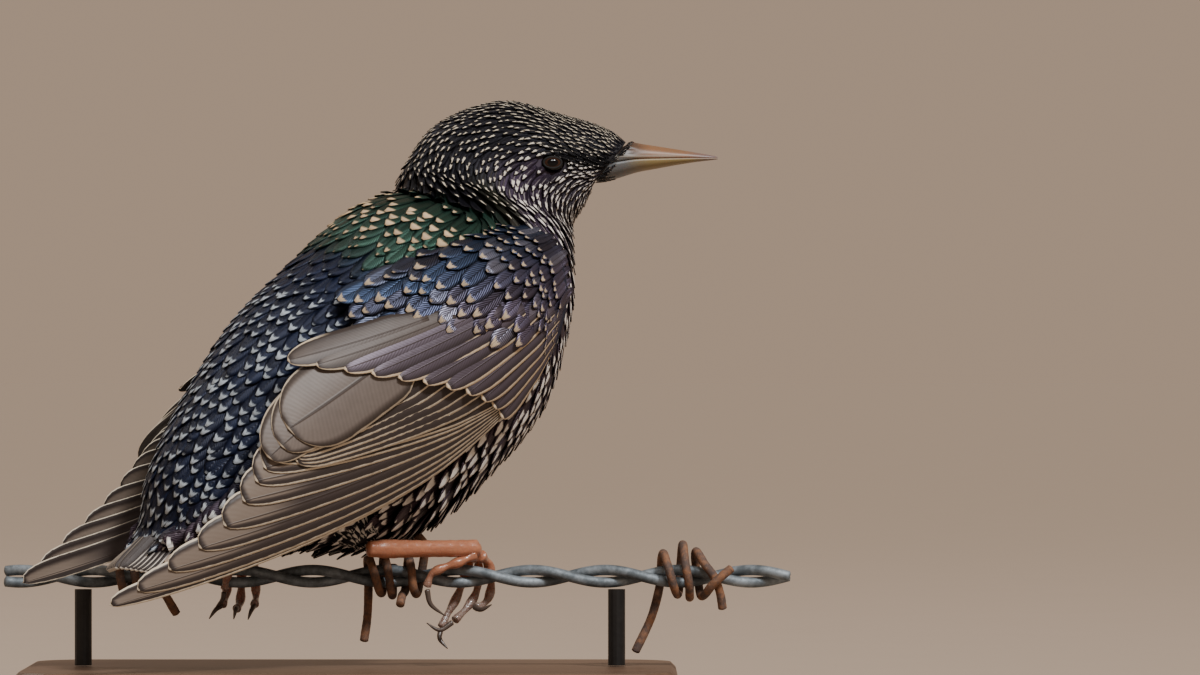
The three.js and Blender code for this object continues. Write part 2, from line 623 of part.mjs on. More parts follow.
// Each barb wire has a free end, turns round the wire as [place along it, angle, distance], and another free end
const BARBS = [
  {
    start: [[-54, -3.2, 39], [-53.6, -4.2, 33.5]],
    turns: [
      [-53, 195, 4.3], [-52.2, 265, 4.2], [-51.6, 335, 4.2], [-51, 45, 4.2], [-50.4, 115, 4.2],
      [-49.6, 185, 4.2], [-49, 255, 4.2],
    ],
    finish: [[-48.6, 3.2, 25.6], [-48.2, 6, 28.6]],
  },
  {
    start: [[-47.4, 4.4, 35], [-47, 0.5, 33.9]],
    turns: [
      [-46.4, 150, 4.3], [-45.8, 215, 4.2], [-45.4, 285, 4.2], [-45, 355, 4.2], [-44.4, 65, 4.2],
      [-43.9, 135, 4.2],
    ],
    finish: [[-43.2, -4.4, 26.2], [-41.8, -3.6, 23.2], [-40.2, -2.6, 20.4]],
  },
  {
    start: [[3.2, 2.8, 13.9], [4, 3.6, 20]],
    turns: [
      [4.2, 350, 4.3], [4, 50, 4.2], [4.5, 105, 4.3], [5.7, 165, 4.2], [6.9, 230, 4.2],
      [7.5, 300, 4.2], [7.5, 10, 4.2], [7.8, 80, 4.3], [8.8, 150, 4.2], [9.6, 225, 4.2],
    ],
    finish: [[9.9, 1, 24.6], [9.9, 4.8, 27.6], [9.9, 5.2, 31.5]],
  },
  {
    start: [[15.6, 1.2, 38.6], [17.4, 2, 36]],
    turns: [
      [17, 40, 5], [16.2, 345, 4.2], [15.5, 280, 4.2], [14.8, 215, 4.2], [14.3, 150, 4.2],
      [13.6, 85, 4.2], [13.2, 15, 4.2], [12.8, 310, 4.2],
    ],
    finish: [[12.2, -2, 24.6], [11.8, -4.6, 22.6]],
  },
  {
    start: [[66.4, 3.4, 11.4], [70.2, 4, 19.6]],
    turns: [
      [72.2, 340, 4.5], [72.4, 40, 4.6], [72.9, 85, 5.3], [74, 150, 4.4], [75.2, 210, 4.2],
      [76.2, 270, 4.3], [76.6, 335, 4.3], [76.9, 35, 4.9], [77.4, 85, 7.4], [78, 145, 5],
      [78.7, 195, 4.3], [79, 250, 4.4],
    ],
    finish: [[79, 2, 24.2], [79, 4.8, 27.6]],
  },
  {
    start: [[88.6, -5.8, 31], [84.6, -5.9, 27.6]],
    turns: [
      [82.4, 235, 5.2], [81.5, 290, 4.5], [81, 345, 4.3], [80.4, 40, 4.4], [80.5, 90, 5.8],
      [82.4, 140, 4.6], [84.6, 180, 4.1],
    ],
    finish: [[86, -3.4, 25.2], [86.6, -2.4, 21.6]],
  },
];

function barbWire({ start, turns, finish }) {
  const path = [...points(start), ...turns.map((turn) => roundWire(...turn)), ...points(finish)];
  const curve = new THREE.CatmullRomCurve3(path, false, "centripetal");
  const count = Math.round(curve.getLength() / 2.3);
  const frames = curve.computeFrenetFrames(count, false);
  const rings = Array.from({ length: count + 1 }, (_, i) => {
    const middle = curve.getPointAt(i / count);
    return Array.from({ length: 6 }, (_, j) => {
      const a = (2 * Math.PI * j) / 6;
      return middle
        .clone()
        .addScaledVector(frames.normals[i], BARB_RADIUS * Math.cos(a))
        .addScaledVector(frames.binormals[i], BARB_RADIUS * Math.sin(a));
    });
  });
  return solid(loft(rings));
}

// The stand

function makeBase() {
  const { length, width, height, corner, bevel } = BASE_SIZE;
  const [x, y] = [length / 2 - bevel, width / 2 - bevel];
  const r = corner - bevel;
  const outline = new THREE.Shape();
  outline.absarc(x - r, y - r, r, 0, Math.PI / 2);
  outline.absarc(-x + r, y - r, r, Math.PI / 2, Math.PI);
  outline.absarc(-x + r, -y + r, r, Math.PI, 1.5 * Math.PI);
  outline.absarc(x - r, -y + r, r, 1.5 * Math.PI, 2 * Math.PI);
  const slab = new THREE.ExtrudeGeometry(outline, {
    depth: height - 2 * bevel,
    bevelThickness: bevel,
    bevelSize: bevel,
    bevelSegments: 1,
    curveSegments: 3,
  });
  return solid(slab.translate(0, 0, bevel));
}

function makeRod(x) {
  const top = WIRE_HEIGHT - WIRE_REACH - GAP;
  const length = top - BASE_SIZE.height - GAP;
  return solid(
    new THREE.CylinderGeometry(ROD_RADIUS, ROD_RADIUS, length, 16)
      .rotateX(Math.PI / 2)
      .translate(x, 0, BASE_SIZE.height + GAP + length / 2),
  );
}

// Everything together

const rooms = joined([wingRoom(1), wingRoom(-1)]);
const shinRooms = joined(Object.values(LEGS).map((leg) => shin(leg, GAP)));
const torso = bodyPart(0, TORSO_END, 14, 26).subtract(rooms).subtract(shinRooms);
addNode("torso", torso, COLOURS.plumage);
addNode("neck", bodyPart(TORSO_END, NECK_END, 5, 26).subtract(rooms), COLOURS.throat);
addNode("head", makeHead(), COLOURS.plumage);
addNode("bill_upper", makeUpperBill(), COLOURS.bill, { roughness: 0.35 });
addNode("bill_lower", mandible(-1), COLOURS.bill, { roughness: 0.35 });
for (const [side, eye] of Object.entries(eyes)) {
  addNode(`eye_${side}`, ball(EYE_RADIUS, eye.middle), COLOURS.eye, { roughness: 0.08 });
}
addNode("wing_right", makeWing(1), COLOURS.flight);
addNode("wing_left", makeWing(-1), COLOURS.flight);
addNode("tail", makeTail(), COLOURS.flight);
const room = joined([bodyPart(0, TORSO_END, 14, 26, GAP), rooms]);
for (const [side, leg] of Object.entries(LEGS)) makeLeg(side, leg, room);
addNode("wire_strand_1", strand(0), COLOURS.steel, { metalness: 0.7, roughness: 0.55 });
addNode("wire_strand_2", strand(Math.PI), COLOURS.steel, { metalness: 0.7, roughness: 0.55 });
BARBS.forEach((barb, k) => {
  addNode(`wire_barb_${k + 1}`, barbWire(barb), COLOURS.rust, { metalness: 0.3, roughness: 0.85 });
});
addNode("stand_base", makeBase(), COLOURS.wood);
for (const [side, x] of Object.entries(ROD_PLACES)) {
  addNode(`stand_rod_${side}`, makeRod(x), COLOURS.rod, { metalness: 0.8, roughness: 0.4 });
}

export default group;
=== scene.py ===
from math import atan2, ceil, cos, hypot, pi, radians, sin, sqrt, tau

import bpy
import numpy as np
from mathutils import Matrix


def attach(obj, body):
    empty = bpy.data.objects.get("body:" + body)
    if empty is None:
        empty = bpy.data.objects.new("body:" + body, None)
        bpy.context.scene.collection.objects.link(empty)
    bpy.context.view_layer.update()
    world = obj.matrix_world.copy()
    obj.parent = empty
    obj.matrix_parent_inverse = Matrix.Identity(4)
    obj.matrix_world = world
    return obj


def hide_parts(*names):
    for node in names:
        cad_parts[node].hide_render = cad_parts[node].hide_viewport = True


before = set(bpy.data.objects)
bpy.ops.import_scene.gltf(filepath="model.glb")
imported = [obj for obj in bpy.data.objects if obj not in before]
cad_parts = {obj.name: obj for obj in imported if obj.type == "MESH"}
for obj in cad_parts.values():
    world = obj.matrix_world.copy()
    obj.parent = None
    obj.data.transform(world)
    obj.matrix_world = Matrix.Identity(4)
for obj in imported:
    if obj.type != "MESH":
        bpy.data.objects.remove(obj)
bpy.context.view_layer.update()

MM = 0.001
rng = np.random.default_rng(7)

# The same driving sizes as the solids, in millimetres
WIRE_HEIGHT = 29.0
BODY_TURN = radians(36)
WING_LENGTH = 131.0
WING_DEPTH = 45.0
LEFT_TIP_LIFT = 4.4
LEFT_TUCK_IN = 4.0
LEFT_TUCK_DOWN = 9.0
EYE_RADIUS = 3.1
EYE_FLAT = 0.72
# Shares that darken the left wing's pale rims and ground colour: painted shade, for the far wing lying in
# shadow
LEFT_WING_PAINTED_SHADE = (0.4, 0.75)
CAMERA_AWAY = 2.0
FRAME_WIDTH = 0.279
STRAND_RADIUS = 1.25
STRAND_OFFSET = 1.45
TWIST_PITCH = 34.0
WIRE_START = -80.0
WIRE_END = 102.0
BARB_RADIUS = 1.0

# Body sections: place, tilt, heading, half width, depth to the back, depth to the belly
STATIONS = np.array([
    [-42.1, -30.6, 40.2, 40, 36, 9.5, 4.4, 4.4],
    [-36.5, -26.5, 45.4, 41.8, 36, 13.5, 12, 11],
    [-24.4, -17.7, 53.4, 35, 36, 19.5, 22.5, 20.5],
    [-9.1, -6.6, 62.6, 33.2, 36, 25, 32.5, 31.5],
    [6.3, 4.6, 74.3, 34.9, 36, 28, 35.5, 34.5],
    [19.8, 14.4, 89.5, 40.6, 36, 28.5, 33.5, 35.5],
    [28.6, 20.8, 101.3, 50.8, 34, 25.5, 27.8, 27.8],
    [31.2, 23, 109.7, 67.6, 28, 22, 22.8, 22.8],
    [31.4, 24, 115.3, 70.4, 20, 19.5, 21.6, 22.3],
    [32.2, 24.3, 118.6, 69, 12, 17.2, 21, 21.5],
    [36.3, 24.5, 124, 58.4, 4, 14.2, 20.2, 20.2],
    [44.7, 24.5, 128.4, 41.1, 0, 11.4, 15.9, 15.9],
    [53.7, 24.5, 127.5, 16, 0, 8.2, 9.6, 9.3],
    [61, 24.5, 125.6, -37.5, 0, 5.1, 6.3, 6.3],
])
LAST = len(STATIONS) - 1
EYE_STATION = 10.97
EYE_ANGLE = radians(104)

WING_ROWS = np.array([
    [[36.5, 27.5, 78.8], [5.3, 26.5, 53.4], [-35.2, 24, 35.3], [-76.8, 17.9, 22.7]],
    [[37.7, 29.5, 93.2], [-7.7, 29, 66.2], [-45.5, 24.5, 48.1], [-86.4, 18, 35.5]],
    [[35, 25.5, 104.8], [-15.7, 26.2, 79], [-51.4, 19.5, 60.9], [-94.4, 16, 48.3]],
    [[25.7, 17, 109.9], [-18, 17.4, 91.8], [-53.5, 10, 73.7], [-101, 12, 61.1]],
])


# Shapes as arrays

join = np.concatenate
steps = np.linspace
norm = np.linalg.norm


def pile(*parts):
    return np.stack(parts, -1)


def each(values):
    """One value for each feather, for use over its grid."""
    return values[:, None, None]


def grid(a, b):
    return np.meshgrid(a, b, indexing="ij")


def mix(a, b, t):
    return a + (b - a) * t


def ease(x):
    x = np.clip(x, 0, 1)
    return x * x * (3 - 2 * x)


def unit(v):
    return v / np.maximum(norm(v, axis=-1, keepdims=True), 1e-12)


def through(table, s):
    """A smooth curve through evenly spaced rows of a table."""
    table = join([2 * table[:1] - table[1:2], table, 2 * table[-1:] - table[-2:-1]])
    s = np.asarray(s, float)
    i = np.clip(np.floor(s).astype(int), 0, len(table) - 4)
    t = (s - i)[..., None]
    p0, p1, p2, p3 = (table[i + k] for k in range(4))
    return p1 + 0.5 * t * (p2 - p0 + t * (2 * p0 - 5 * p1 + 4 * p2 - p3 + t * (3 * (p1 - p2) + p3 - p0)))


def body_at(s, a):
    """Points of the body's surface at station s and angle a, from the back over the right side."""
    row = through(STATIONS, s)
    p, h = np.radians(row[..., 3]), np.radians(row[..., 4])
    right = pile(np.sin(h), -np.cos(h), 0 * h)
    dorsal = pile(-np.cos(h) * np.sin(p), -np.sin(h) * np.sin(p), np.cos(p))
    depth = np.where(np.cos(a) > 0, row[..., 6], row[..., 7])
    across = row[..., 5] * np.sin(a)
    return row[..., :3] + right * across[..., None] + dorsal * (depth * np.cos(a))[..., None]


def body_frame(s, a):
    """The outward normal, and how far a unit of s and of a goes, in millimetres."""
    e = 0.02
    ds = (body_at(s + e, a) - body_at(s - e, a)) / (2 * e)
    da = (body_at(s, a + e) - body_at(s, a - e)) / (2 * e)
    return unit(np.cross(da, ds)), norm(ds, axis=-1), norm(da, axis=-1)


def cubic(t):
    """Weights of four evenly spaced values, for the curve through them at t."""
    a, b, c, d = t, t - 1 / 3, t - 2 / 3, t - 1
    return pile(-4.5 * b * c * d, 13.5 * a * c * d, -13.5 * a * b * d, 4.5 * a * b * c)


def wing_at(side, u, q):
    """Points of a wing's inner face, u from the wrist to the tip, q in from the leading edge."""
    u, q = np.broadcast_arrays(np.asarray(u, float), np.asarray(q, float))
    p = np.einsum("...i,...j,ijk->...k", cubic(q / WING_DEPTH), cubic(u), WING_ROWS)
    ahead, out, up = p[..., 0], side * p[..., 1], p[..., 2]
    if side < 0:
        tuck = ease(q / WING_DEPTH) * ease(u / 0.3) * (1 - ease((u - 0.45) / 0.55))
        out = out + LEFT_TUCK_IN * tuck
        up = up + LEFT_TIP_LIFT * u * u - LEFT_TUCK_DOWN * tuck
    c, d = cos(BODY_TURN), sin(BODY_TURN)
    return pile(ahead * c + out * d, ahead * d - out * c, up)


def wing_normal(side, u, q):
    du = wing_at(side, u + 0.01, q) - wing_at(side, u - 0.01, q)
    dq = wing_at(side, u, q + 0.3) - wing_at(side, u, q - 0.3)
    return unit(np.cross(dq, du)) * side


def wing_top(u, q):
    return mix(1.7, 4.9, ease(q / 15)) * mix(0.45, 1, ease((u + 0.04) / 0.14))


# Meshes

def put_in_scene(name, data, place=(0, 0, 0), turn=(0, 0, 0)):
    thing = bpy.data.objects.new(name, data)
    thing.location = place
    thing.rotation_euler = turn
    bpy.context.scene.collection.objects.link(thing)
    return thing


def make_mesh(name, points, quads, material, replaces=(), uvs=None, colours=None, fans=None):
    """One closed piece from points in millimetres, faces of four turned outwards, and fans of three."""
    points = points.reshape(-1, 3) * MM
    a, b, c, d = (points[quads[:, k]] for k in range(4))
    if np.einsum("ij,ij", a, np.cross(b, c) + np.cross(c, d)) < 0:
        quads = quads[:, ::-1]
    fans = np.zeros((0, 3), int) if fans is None else fans
    corners = join([quads.ravel(), fans.ravel()])
    starts = join([np.arange(len(quads)) * 4, quads.size + np.arange(len(fans)) * 3])
    me = bpy.data.meshes.new(name)
    me.vertices.add(len(points))
    me.vertices.foreach_set("co", points.ravel())
    me.loops.add(len(corners))
    me.loops.foreach_set("vertex_index", corners)
    me.polygons.add(len(starts))
    me.polygons.foreach_set("loop_start", starts)
    me.update(calc_edges=True)
    me.polygons.foreach_set("use_smooth", np.ones(len(starts), bool))
    for key, uv in (uvs or {}).items():
        me.uv_layers.new(name=key).uv.foreach_set("vector", uv.reshape(-1, 2)[corners].ravel())
    for key, values in (colours or {}).items():
        values = values.reshape(len(points), -1)
        rgba = np.ones((len(points), 4))
        rgba[:, : values.shape[1]] = values
        me.attributes.new(key, "FLOAT_COLOR", "POINT").data.foreach_set("color", rgba.ravel())
    me.materials.append(material)
    me.validate()
    piece = put_in_scene(name, me)
    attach(piece, "root")
    if replaces:
        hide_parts(*replaces)


def grid_quads(rows, columns, closed=False):
    g = np.arange(rows * columns).reshape(rows, columns)
    g = np.c_[g, g[:, :1]] if closed else g
    return pile(g[:-1, :-1], g[:-1, 1:], g[1:, 1:], g[1:, :-1]).reshape(-1, 4)


def plate_quads(rows, columns):
    """Faces of a closed plate whose upper points come first and lower points after."""
    n = rows * columns
    g = np.arange(n).reshape(rows, columns)
    top = grid_quads(rows, columns)
    ring = join([g[:-1, 0], g[-1, :-1], g[:0:-1, -1], g[0, :0:-1]])
    after = np.roll(ring, -1)
    rim = pile(ring, after, after + n, ring + n)
    return join([top[:, ::-1], top + n, rim[:, ::-1]])[:, ::-1]


def with_ends(rings):
    """Closes rings of points with the middles of the first and the last."""
    middle = rings.mean(1, keepdims=True).repeat(rings.shape[1], 1)
    return join([middle[:1], rings, middle[-1:]])


def two_faces(base, out, rise, half):
    """Upper and lower points of a thin sheet that stands off its base."""
    return base + out * np.asarray(rise + half)[..., None], base + out * np.asarray(rise - half)[..., None]


def tube_mesh(path, radii, sides, flat=1.0):
    """Points, faces and end fans of a closed tube along points, with rounded ends."""
    path = np.asarray(path, float)
    n = len(path)
    radii = np.broadcast_to(radii, (n,))
    way = unit(np.gradient(path, axis=0))
    side = np.zeros_like(path)
    side[0] = unit(np.cross(way[0], np.array([0, 0, 1]) + 1e-3))
    for i in range(1, n):
        side[i] = unit(side[i - 1] - way[i] * np.dot(side[i - 1], way[i]))
    other = np.cross(way, side) * flat
    angle = (np.arange(sides) * tau / sides)[:, None]
    row = np.r_[0, 0, 0:n, n - 1, n - 1]
    share = np.r_[0.25, 0.75, np.ones(n), 0.75, 0.25]
    push = np.where(row > 0, 0.35, -0.35) * radii[row] * (1 - share)
    middle = path[row] + way[row] * push[:, None]
    ring = side[row, None] * np.cos(angle) + other[row, None] * np.sin(angle)
    points = middle[:, None] + ring * (radii[row] * np.sqrt(share))[:, None, None]
    points = join([points.reshape(-1, 3), middle[:1], middle[-1:]])
    j = np.arange(sides)
    after = (j + 1) % sides
    end = len(row) * sides
    fans = join([pile(after, j, 0 * j + end), pile(j + end - sides, after + end - sides, 0 * j + end + 1)])
    return points, grid_quads(len(row), sides, closed=True), fans


def add_tubes(name, tubes, material, slot, *replaces):
    """One piece from several tubes, each [path, radii, sides, flatness]."""
    made, count = [], 0
    for tube in tubes:
        p, q, f = tube_mesh(*tube)
        made.append((p, q + count, f + count))
        count += len(p)
    points, quads, fans = map(join, zip(*made))
    make_mesh(name, points, quads, material, replaces, fans=fans)


def smooth_path(points, count):
    """A smooth line through points, evenly spaced."""
    points = np.asarray(points, float)
    s = steps(0, len(points) - 1, 400)
    line = through(points, s)
    run = join([[0], np.cumsum(norm(np.diff(line, axis=0), axis=1))])
    want = steps(0, run[-1], count)
    return pile(*[np.interp(want, run, line[:, k]) for k in range(3)])


# Materials

class Num:
    """A socket of a node tree, with plain arithmetic."""

    def __init__(self, kit, socket):
        self.kit, self.socket = kit, socket

    __add__ = __radd__ = lambda self, o: self.kit.math("ADD", self, o)
    __mul__ = __rmul__ = lambda self, o: self.kit.math("MULTIPLY", self, o)
    __sub__ = lambda self, o: self.kit.math("SUBTRACT", self, o)
    __rsub__ = lambda self, o: self.kit.math("SUBTRACT", o, self)
    __truediv__ = lambda self, o: self.kit.math("DIVIDE", self, o)


class Kit:
    """Builds one material's nodes."""

    def __init__(self, name, **constants):
        self.material = bpy.data.materials.new(name)
        self.material.use_nodes = True
        self.tree = self.material.node_tree
        self.shader = next(n for n in self.tree.nodes if n.type == "BSDF_PRINCIPLED")
        self.done(**constants)

    def put(self, socket, value):
        if isinstance(value, Num):
            self.tree.links.new(value.socket, socket)
        elif value is not None:
            socket.default_value = (*value, 1.0) if socket.type == "RGBA" else value

    def node(self, kind, inputs=(), output=0, **settings):
        node = self.tree.nodes.new("ShaderNode" + kind)
        for key, value in settings.items():
            setattr(node, key, value)
        for key, value in dict(inputs).items():
            self.put(node.inputs[key], value)
        return Num(self, node.outputs[output])

    def done(self, **inputs):
        for key, value in inputs.items():
            self.put(self.shader.inputs[key.replace("_", " ")], value)
        return self.material

    def math(self, operation, a, b=None, clamp=False):
        return self.node("Math", {0: a, 1: b}, operation=operation, use_clamp=clamp)

    def smooth(self, value, low, high):
        """From 0 at low to 1 at high."""
        t = self.math("MULTIPLY", (value - low) / (high - low), 1.0, True)
        return t * t * (3.0 - t * 2.0)

    def colour(self, base, *layers):
        """A base with further colours over it, each [share, colour]."""
        for share, over in layers:
            base = self.node("Mix", {0: share, 6: base, 7: over}, output=2, data_type="RGBA")
        return base

    def place(self):
        return self.node("TexCoord", output=3)

    def noise(self, scale, detail=4.0, rough=0.55, stretch=(1.0, 1.0, 1.0)):
        place = self.node("Mapping", {"Vector": self.place(), "Scale": stretch})
        inputs = {"Vector": place, "Scale": scale, "Detail": detail, "Roughness": rough}
        return self.node("TexNoise", inputs)

    def split(self, kind, value):
        node = self.node(kind, {0: value}).socket.node
        return [Num(self, output) for output in node.outputs]

    def axes(self):
        return self.split("SeparateXYZ", self.place())

    def uv(self, name):
        return self.split("SeparateXYZ", self.node("UVMap", uv_map=name))[:2]

    def paint(self, name):
        return self.node("Attribute", attribute_name=name)

    def channels(self, name):
        return self.split("SeparateColor", self.paint(name))

    def surface(self, base, rough, height, strength, distance, **inputs):
        bump = self.node("Bump", {"Height": height, "Strength": strength, "Distance": distance})
        return self.done(Base_Color=base, Roughness=rough, Normal=bump, **inputs)


def grained(name, scale, dark, light, rough, bump, detail=4, stretch=(1, 1, 1), swing=0, **constants):
    """A finish that one noise mottles between a dark and a light colour."""
    k = Kit(name, **constants)
    soft = k.noise(scale, detail, stretch=stretch)
    rough = soft * swing + rough if swing else rough
    return k.surface(k.colour(dark, (soft, light)), rough, soft, *bump)


def contour_material():
    """Small body feathers: a glossy ground colour, a pale tip, and fine barbs."""
    k = Kit("body_feather", IOR=1.33)
    x, y = k.uv("fuv")
    spot, gloss, chance = k.channels("marks")
    wide, notch, streak = k.channels("shape")
    away = k.math("ABSOLUTE", x)
    out = away / wide
    edge = 1 - spot * (1 - notch * (1 - out))
    wobble = k.math("SINE", (y * 60 + away * 25 + chance * 40)) * 0.014
    tip = k.smooth(y + wobble, edge - 0.03, edge + 0.03) * (1 - k.smooth(out + wobble * 3, 0.88, 1.1))
    line = (1 - k.smooth(away, 0.06, 0.14)) * k.smooth(y, 0.25, 0.4) * streak
    tip = k.math("MAXIMUM", tip, line)
    barb = k.math("SINE", (y * 78 - away * 30 + chance * 20))
    shaft = k.smooth(away, 0, 0.1)
    base = k.colour(
        k.paint("ground"),
        (0.4 + barb * 0.35, (0.004, 0.004, 0.006)),
        ((1 - shaft) * 0.5, (0.004, 0.004, 0.005)),
        (k.smooth(away, 0.8, 1) * 0.5, (0.006, 0.006, 0.01)),
        (tip, k.colour(k.paint("tint"), (0.1 + barb * 0.1, (0.2, 0.17, 0.14)))),
    )
    rough = 0.38 + tip * 0.3 + chance * 0.08
    return k.surface(base, rough, barb * 0.5 + shaft, 0.6, 0.00009, Metallic=gloss * (1 - tip))


def flight_material():
    """Flight feathers: taupe webs, a pale edge, a dark line inside it, a paler middle near the tip."""
    k = Kit("flight_feather", IOR=1.36)
    x, y = k.uv("fuv")
    pale_edge, gloss, centre = k.channels("marks")
    wide, long, barred = k.channels("size")
    away = k.math("ABSOLUTE", x)
    soft = k.noise(420)
    edge = k.math("MINIMUM", (1 - away) * wide * 20, (1 - y) * long * 100) + (soft - 0.5) * 0.35
    barb = k.math("SINE", (y * 230 - away * 26)) * barred
    shown = k.math("MAXIMUM", k.math("LESS_THAN", x, 0), k.smooth(y, 0.62, 0.8))
    rim = (1 - k.smooth(edge - pale_edge * 0.7, -0.12, 0.12)) * shown
    dark = 1 - k.smooth(edge, 0.8, 2.2)
    mid = k.smooth(y, 0.72, 0.88) * k.smooth(edge, 1.1, 2.4) * centre
    shaft = 1 - k.smooth(away, 0.02, 0.055)
    base = k.colour(
        k.paint("ground"),
        (0.3 + barb * 0.2 + soft * 0.25, (0.035, 0.026, 0.021)),
        (dark * 0.65, (0.022, 0.016, 0.014)),
        (mid * 0.7, (0.25, 0.2, 0.16)),
        (shaft * 0.8, (0.03, 0.02, 0.016)),
        (rim, k.paint("tint")),
    )
    height, metallic = barb * 0.4 + shaft * 2 + soft, gloss * (1 - rim) * 0.6
    return k.surface(base, 0.46 + rim * 0.2, height, 0.4, 0.0001, Metallic=metallic)


def skin_material():
    """The skin under the feathers carries the coat's ground colour, streaked along the lie."""
    k = Kit("skin_under_feathers", IOR=1.4)
    soft = k.noise(900)
    base = k.colour(k.paint("ground"), (soft * 0.5, (0.01, 0.009, 0.01)))
    return k.surface(base, 0.7, soft, 0.4, 0.0002)


def leg_material():
    """Bare leg: damp orange-red scales, browner and greyer down the toes."""
    k = Kit("bare_leg_scales", IOR=1.45, Subsurface_Weight=0.08)
    down = 1 - k.smooth(k.axes()[2], 0.0235, 0.0325)
    cells = k.node("TexVoronoi", {"Vector": k.place(), "Scale": 900}, feature="DISTANCE_TO_EDGE")
    crack = (1 - k.smooth(cells, 0.02, 0.14)) * (0.2 + down * 0.8)
    soft = k.noise(520, 5, stretch=(0.3, 0.6, 1.8))
    warm = k.colour((0.2, 0.06, 0.028), (soft, (0.5, 0.2, 0.11)))
    grey = k.colour((0.13, 0.085, 0.07), (soft, (0.27, 0.2, 0.17)))
    base = k.colour(warm, (down, grey), (crack * 0.55, (0.1, 0.045, 0.03)))
    return k.surface(base, 0.18 + soft * 0.3, crack * -1 + soft * 0.6, 0.5, 0.00015, Coat_Weight=0.5)


def bill_material():
    """Bill: dark at the base, orange-brown further on, mauve-grey at the tip, paler at the mouth line."""
    k = Kit("bill_horn", IOR=1.5, Subsurface_Weight=0.05)
    x, _, z = k.axes()
    over = z - 0.1267
    soft = k.noise(700, 5, stretch=(0.35, 1, 1.6))
    t = (x - 0.0605) / 0.0253 + (soft - 0.5) * 0.16
    middle, end = (k.smooth(t, 0.12, 0.42), (0.2, 0.1, 0.048)), (k.smooth(t, 0.62, 0.95), (0.15, 0.1, 0.1))
    upper = k.colour((0.03, 0.022, 0.018), middle, end)
    middle, end = (k.smooth(t, 0.1, 0.4), (0.22, 0.16, 0.065)), (k.smooth(t, 0.7, 0.98), (0.16, 0.11, 0.095))
    lower = k.colour((0.1, 0.105, 0.108), middle, end)
    stripe = k.smooth(over, 0, 0.0003) * (1 - k.smooth(over, 0.0005, 0.0009)) * (1 - k.smooth(t, 0.5, 0.8))
    base = k.colour(lower, (k.smooth(over, -0.0002, 0.0002), upper), (stripe * 0.5, (0.36, 0.34, 0.3)))
    return k.surface(base, 0.42, soft, 0.25, 0.00012)


def eye_material():
    """Eye: black pupil inside a dark brown iris, wet."""
    k = Kit("eye_wet", IOR=1.34)
    ring = k.channels("marks")[0]
    soft = k.noise(2500, 3)
    iris = k.colour((0.016, 0.006, 0.003), (soft, (0.045, 0.018, 0.01)))
    outside = (k.smooth(ring, 0.72, 0.8), (0.003, 0.002, 0.002))
    base = k.colour((0.002, 0.002, 0.003), (k.smooth(ring, 0.42, 0.48), iris), outside)
    return k.done(Base_Color=base, Roughness=0.06)


def lid_material():
    k = Kit("eyelid_skin", IOR=1.4)
    low = 1 - k.smooth(k.axes()[2], 0.1232, 0.1242)
    soft = k.noise(1500, 3)
    base = k.colour((0.004, 0.004, 0.004), (low * 0.5, (0.32, 0.3, 0.27)))
    return k.surface(base, 0.75, soft, 0.3, 0.0001)


def zinc_material():
    """Galvanised strands: blue-grey, dull, with dark grooves and pale scuffs."""
    k = Kit("galvanised_strand")
    soft = k.noise(260, 6, 0.65)
    fine = k.noise(1600)
    grooves = (k.smooth(fine, 0.6, 0.75) * 0.5, (0.05, 0.05, 0.05))
    base = k.colour((0.095, 0.115, 0.13), (k.smooth(soft, 0.35, 0.7), (0.26, 0.3, 0.33)), grooves)
    return k.surface(base, 0.5 + fine * 0.25, fine, 0.4, 0.0001, Metallic=0.55)


def rust_material():
    """Barbs: brown and orange rust over dark steel, pitted."""
    k = Kit("rusted_barb")
    soft = k.noise(320, 6, 0.7)
    fine = k.noise(1500, 5, 0.7)
    base = k.colour(
        (0.075, 0.05, 0.042),
        (k.smooth(soft, 0.38, 0.66), (0.25, 0.115, 0.055)),
        (k.smooth(fine, 0.55, 0.75) * 0.55, (0.33, 0.2, 0.13)),
        ((1 - k.smooth(fine, 0.28, 0.42)) * 0.7, (0.03, 0.022, 0.02)),
    )
    return k.surface(base, 0.78, fine + soft, 0.7, 0.0002, Metallic=0.1)


CONTOUR = contour_material()
FLIGHT = flight_material()
SKIN = skin_material()
LEG = leg_material()
CLAW = grained("claw_horn", 700, (0.03, 0.022, 0.018), (0.11, 0.08, 0.065), 0.28, (0.2, 0.0001), IOR=1.5)
BILL = bill_material()
EYE = eye_material()
LID = lid_material()
ZINC = zinc_material()
RUST = rust_material()
WOOD = grained("stand_wood_finish", 320, (0.05, 0.028, 0.017), (0.15, 0.085, 0.05), 0.42, (0.15, 0.0002),
               6, (0.08, 1, 1), 0.12)
ROD = grained("stand_rod_finish", 900, (0.012, 0.012, 0.013), (0.03, 0.03, 0.03), 0.38, (0.1, 0.0001),
              Metallic=0.6)
FLOOR = grained("floor_paper", 30, (0.343, 0.272, 0.209), (0.357, 0.283, 0.22), 0.95, (0, 0.001))


# The plumage's colours by place on the body

def blend(*pairs):
    """A weighted mean of colours, from [weight, colour] pairs."""
    total = sum(w for w, _ in pairs) + 1e-9
    return sum(w[..., None] * np.array(c) for w, c in pairs) / total[..., None]


def bell(x, middle, wide):
    return np.exp(-(((x - middle) / wide) ** 2))


